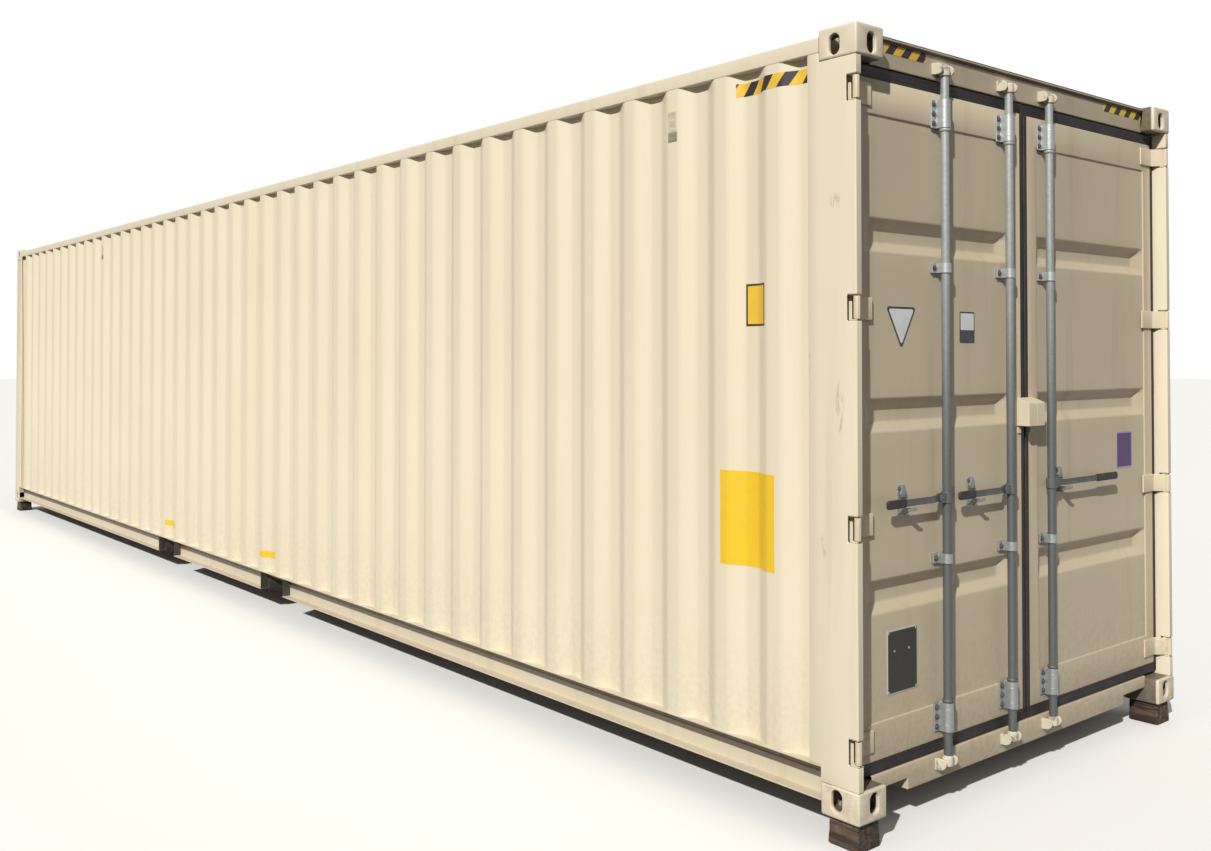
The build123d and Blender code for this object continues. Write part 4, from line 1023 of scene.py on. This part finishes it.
# Painted shade: the lower part of each cover is drawn dark, as the shade under a louvred hood.
vent_colour = f.mix((1 - f.axis("Z").part(lift + 2.628, lift + 2.638)) * 0.75, vent_colour,
    (0.17, 0.15, 0.12))
vent_cover = f.done(vent_colour, 0.55, bump=vent_dust, depth=0.0005)
vent_half_x, vent_half_z, vent_level, press = 0.028, 0.065, lift + 2.657, 0.004
vent_x, vent_z = np.meshgrid(np.linspace(-vent_half_x, vent_half_x, 25),
    np.linspace(-vent_half_z, vent_half_z, 61))
rim = np.minimum(vent_half_x - np.abs(vent_x), vent_half_z - np.abs(vent_z)) / press
field = np.clip((0.020 - np.abs(vent_x)) / press, 0, 1) * np.clip((0.052 - np.abs(vent_z)) / press, 0, 1)
louvre = (vent_z / 0.020 + 0.5) % 1
vent_out = 1.2152 + 0.0025 * np.sqrt(np.clip(rim, 0, 1)) - 0.0021 * field * (1 - louvre)
vent_skins, faces = [], (vent_out, np.full_like(vent_x, 1.2142))
for x in (5.117, -2.843):
    for sign in (-1, 1):
        vent_skins += thick(*(np.stack([x + vent_x, sign * y, vent_level + vent_z], -1) for y in faces))
fitted("louvred_covers", vent_cover, "container", vent_skins, ["ventilators"], turn=25)


# Plates, stickers and stripes
# A dark enamelled data plate riveted on the left leaf, left bare, three plain stickers, and hazard tape
# in yellow and black on the header and under both top rails. Stickers on the walls follow the ribs.
def bordered_sheet(name, field, border, width, box, axes, rough):
    """A printed sheet with a plain field and a border of the given width."""
    f = Finish(name)
    wear = f.noise(18, 4, 0.6)
    u, v = (f.axis(a.upper()) for a in axes)
    (u0, v0), (u1, v1) = box
    inset = (u - u0).math("MINIMUM", u1 - u).math("MINIMUM", v - v0).math("MINIMUM", v1 - v)
    colour = f.mix(wear.part(0.4, 0.75) * 0.35, field, tuple(0.8 * c + 0.03 for c in field))
    colour = f.mix(1 - inset.part(width * 0.85, width), colour, border)
    return f.done(colour, rough + wear * 0.15, bump=wear, depth=0.0002)


def rivet(x, y, z, radius=0.0055, tall=0.0028):
    """A domed rivet head: a quarter circle carried round an axis along X."""
    rise, angle = np.meshgrid(np.radians((0, 25, 50, 75)), np.arange(16) * np.pi / 8, indexing="ij")
    dome = [tall * np.sin(rise), radius * np.cos(rise) * np.cos(angle),
        radius * np.cos(rise) * np.sin(angle)]
    return skin(np.stack(dome, -1) + (x, y, z), around=True, shut=True)


plate_low, plate_high = np.array([(-0.954, lift + 0.404), (-0.766, lift + 0.645)])
plate_centre, plate_half = (plate_low + plate_high) / 2, (plate_high - plate_low) / 2
plate_ink = bordered_sheet("data_plate_enamel", (0.018, 0.016, 0.014), (0.50, 0.48, 0.42), 0.005,
    (plate_low.tolist(), plate_high.tolist()), "yz", 0.5)
plate_line = rounded_line(*plate_half, 0.006, 3) + plate_centre
fitted("data_plate", plate_ink, "left_door", [slab(plate_line, 6.0185, 6.0218, "yzx")],
    edge=0.0006)
rivet_places = [(-0.910, lift + 0.565), (-0.819, lift + 0.565)]
rivet_places += [plate_centre + (a * 0.085, b * 0.111) for a in (-1, 1) for b in (-1, 1)]
fitted("data_plate_rivets", catch_zinc, "left_door",
    [rivet(6.0216, *place) for place in rivet_places])


def triangle(size, radius):
    """A triangle with its point down and round corners: three arcs, one about each corner's centre."""
    turn = np.radians(np.linspace(-60, 60, 7))
    arcs = []
    for aim in np.radians((30, 150, 270)):
        arc = radius * np.stack([np.cos(aim + turn), np.sin(aim + turn)], -1)
        arcs.append(arc + size * np.array((math.cos(aim), math.sin(aim))))
    return np.concatenate(arcs)


inks = []
for name, fresh, faded in (
        ("white_sticker", (0.74, 0.74, 0.76), (0.66, 0.65, 0.66)),
        ("dark_sticker", (0.030, 0.032, 0.045), (0.07, 0.07, 0.085))):
    f = Finish(name)
    fade = f.noise(12, 4)
    inks.append(f.done(f.mix(fade.part(0.4, 0.7), fresh, faded), 0.4, bump=fade, depth=0.0002))
white, dark = inks
purple_box = ((0.811, lift + 1.148), (0.961, lift + 1.321))
purple = bordered_sheet("purple_sticker", (0.070, 0.035, 0.150), (0.34, 0.30, 0.44), 0.008, purple_box,
    "yz", 0.4)
triangle_at, small_at, purple_at = (-0.857, lift + 1.818), (-0.417, lift + 1.7995), (0.886, lift + 1.2345)
small_field = rounded_line(0.046, 0.034, 0.003, 3) + small_at + (0, 0.023)
border_x, field_x, label_x = (6.0195, 6.0206), (6.0200, 6.0210), (6.0195, 6.0207)
stickers = (
    ("triangle_border", dark, "left", border_x, triangle(0.089, 0.010) + triangle_at),
    ("triangle_field", white, "left", field_x, triangle(0.078, 0.007) + triangle_at),
    ("small_sticker_border", dark, "left", border_x, rounded_line(0.052, 0.0635, 0.005, 3) + small_at),
    ("small_sticker_field", white, "left", field_x, small_field),
    ("purple_label", purple, "right", label_x, rounded_line(0.075, 0.0865, 0.016, 4) + purple_at))
for name, ink, side, levels, line in stickers:
    fitted(name, ink, side + "_door", [slab(line, *levels, "yzx")])


def hazard_tape(name, axes, slant, period, phase=0.0):
    """Yellow and black bands on the slant: a square wave of one coordinate plus a share of the other."""
    f = Finish(name)
    wear = f.noise(25, 4, 0.65)
    u, v = (f.axis(a) for a in axes)
    band = ((u + v * slant) / period + phase).math("FRACT")
    dark = band.part(0.0, 0.02) * (1 - band.part(0.48, 0.50))
    colour = f.mix(wear.part(0.4, 0.75), (0.78, 0.50, 0.035), (0.70, 0.43, 0.06))
    colour = f.mix(dark, colour, (0.020, 0.018, 0.022))
    colour = f.mix(wear.part(0.66, 0.72) * 0.6, colour, (0.55, 0.46, 0.32))
    return f.done(colour, 0.4 + wear * 0.2, bump=wear, depth=0.0002)


header_tape = hazard_tape("header_hazard_tape", "YZ", -0.9, 0.0975)
for name, low_y, high_y in (("left_header_tape", -0.966, -0.707), ("right_header_tape", 0.695, 1.055)):
    line = rounded_line((high_y - low_y) / 2, 0.0195, 0.002, 2) + ((low_y + high_y) / 2, lift + 2.8515)
    fitted(name, header_tape, "container", [slab(line, 6.0295, 6.0308, "yzx")])


def on_wall(box, sign):
    """A sheet that lies on the ribbed wall, 0.6 mm proud of it."""
    (low_x, low_z), (high_x, high_z) = box
    ribs = wall_x[(wall_x > low_x) & (wall_x < high_x)]
    gx, gz = np.meshgrid(np.unique(np.r_[ribs, np.linspace(low_x, high_x, 9)]),
        np.linspace(low_z, high_z, 9))
    front = np.stack([gx, wall_surface(gx, gz) + 0.0006, gz], -1)
    return mirrored(thick(front, front - (0, 0.0009, 0)), 1, sign)


wall_tape = hazard_tape("wall_hazard_tape", "XZ", -0.70, 0.102, 0.463)
yellow_box = ((5.397, lift + 0.848), (5.690, lift + 1.225))
yellow = bordered_sheet("yellow_sheet", (0.80, 0.52, 0.020), (0.80, 0.52, 0.020), 0.002, yellow_box, "xz",
    0.4)
sign_box = ((5.511, lift + 1.802), (5.634, lift + 1.970))
yellow_sign = bordered_sheet("yellow_sign", (0.78, 0.50, 0.035), (0.030, 0.022, 0.015), 0.009, sign_box,
    "xz", 0.4)
wall_sheets = [("wall_tape", wall_tape, ((5.474, lift + 2.722), (5.832, lift + 2.776))),
    ("yellow_sheet", yellow, yellow_box), ("yellow_sign", yellow_sign, sign_box)]
for k, x in enumerate((0.970, -0.970)):
    label_box = ((x - 0.125, lift + 0.274), (x + 0.125, lift + 0.320))
    wall_sheets.append((f"pocket_label_{k + 1}", yellow, label_box))
for side, sign in (("left", -1), ("right", 1)):
    for name, ink, box in wall_sheets:
        fitted(f"{side}_{name}", ink, "container", on_wall(box, sign))


# Ground and backdrop
# A pale even floor that carries the shadow but throws no light back, and a white dome round it that
# only the camera sees.
def staged(name, points, faces, finish, unseen_by):
    """A thing round the object that is no part of it, and that some kinds of light ray don't meet."""
    mesh = bpy.data.meshes.new(name)
    mesh.from_pydata(points, [], faces)
    mesh.materials.append(finish)
    thing = bpy.data.objects.new(name, mesh)
    bpy.context.scene.collection.objects.link(thing)
    for ray in unseen_by:
        setattr(thing, "visible_" + ray, False)


reach, dome_radius = 90.0, 88
corners = [(-reach, -reach, 0), (reach, -reach, 0), (reach, reach, 0), (-reach, reach, 0)]
staged("ground", corners, [(0, 1, 2, 3)], Finish("pale_ground").done((0.90, 0.90, 0.89), 0.9), ["diffuse"])
rise, turn = np.meshgrid(np.radians(np.linspace(-4, 90, 24)), np.arange(64) * np.pi / 32, indexing="ij")
dome = np.stack([np.cos(rise) * np.cos(turn), np.cos(rise) * np.sin(turn), np.sin(rise)], -1)
points, groups = skin(dome_radius * dome, around=True)
glow = Finish("white_backdrop").done((0, 0, 0), 1.0, Specular_IOR_Level=0.0, Emission_Color=(1, 1, 1),
    Emission_Strength=1.0)
staged("backdrop", points, groups[0].tolist(), glow, ["diffuse", "glossy", "transmission", "volume_scatter",
    "shadow"])
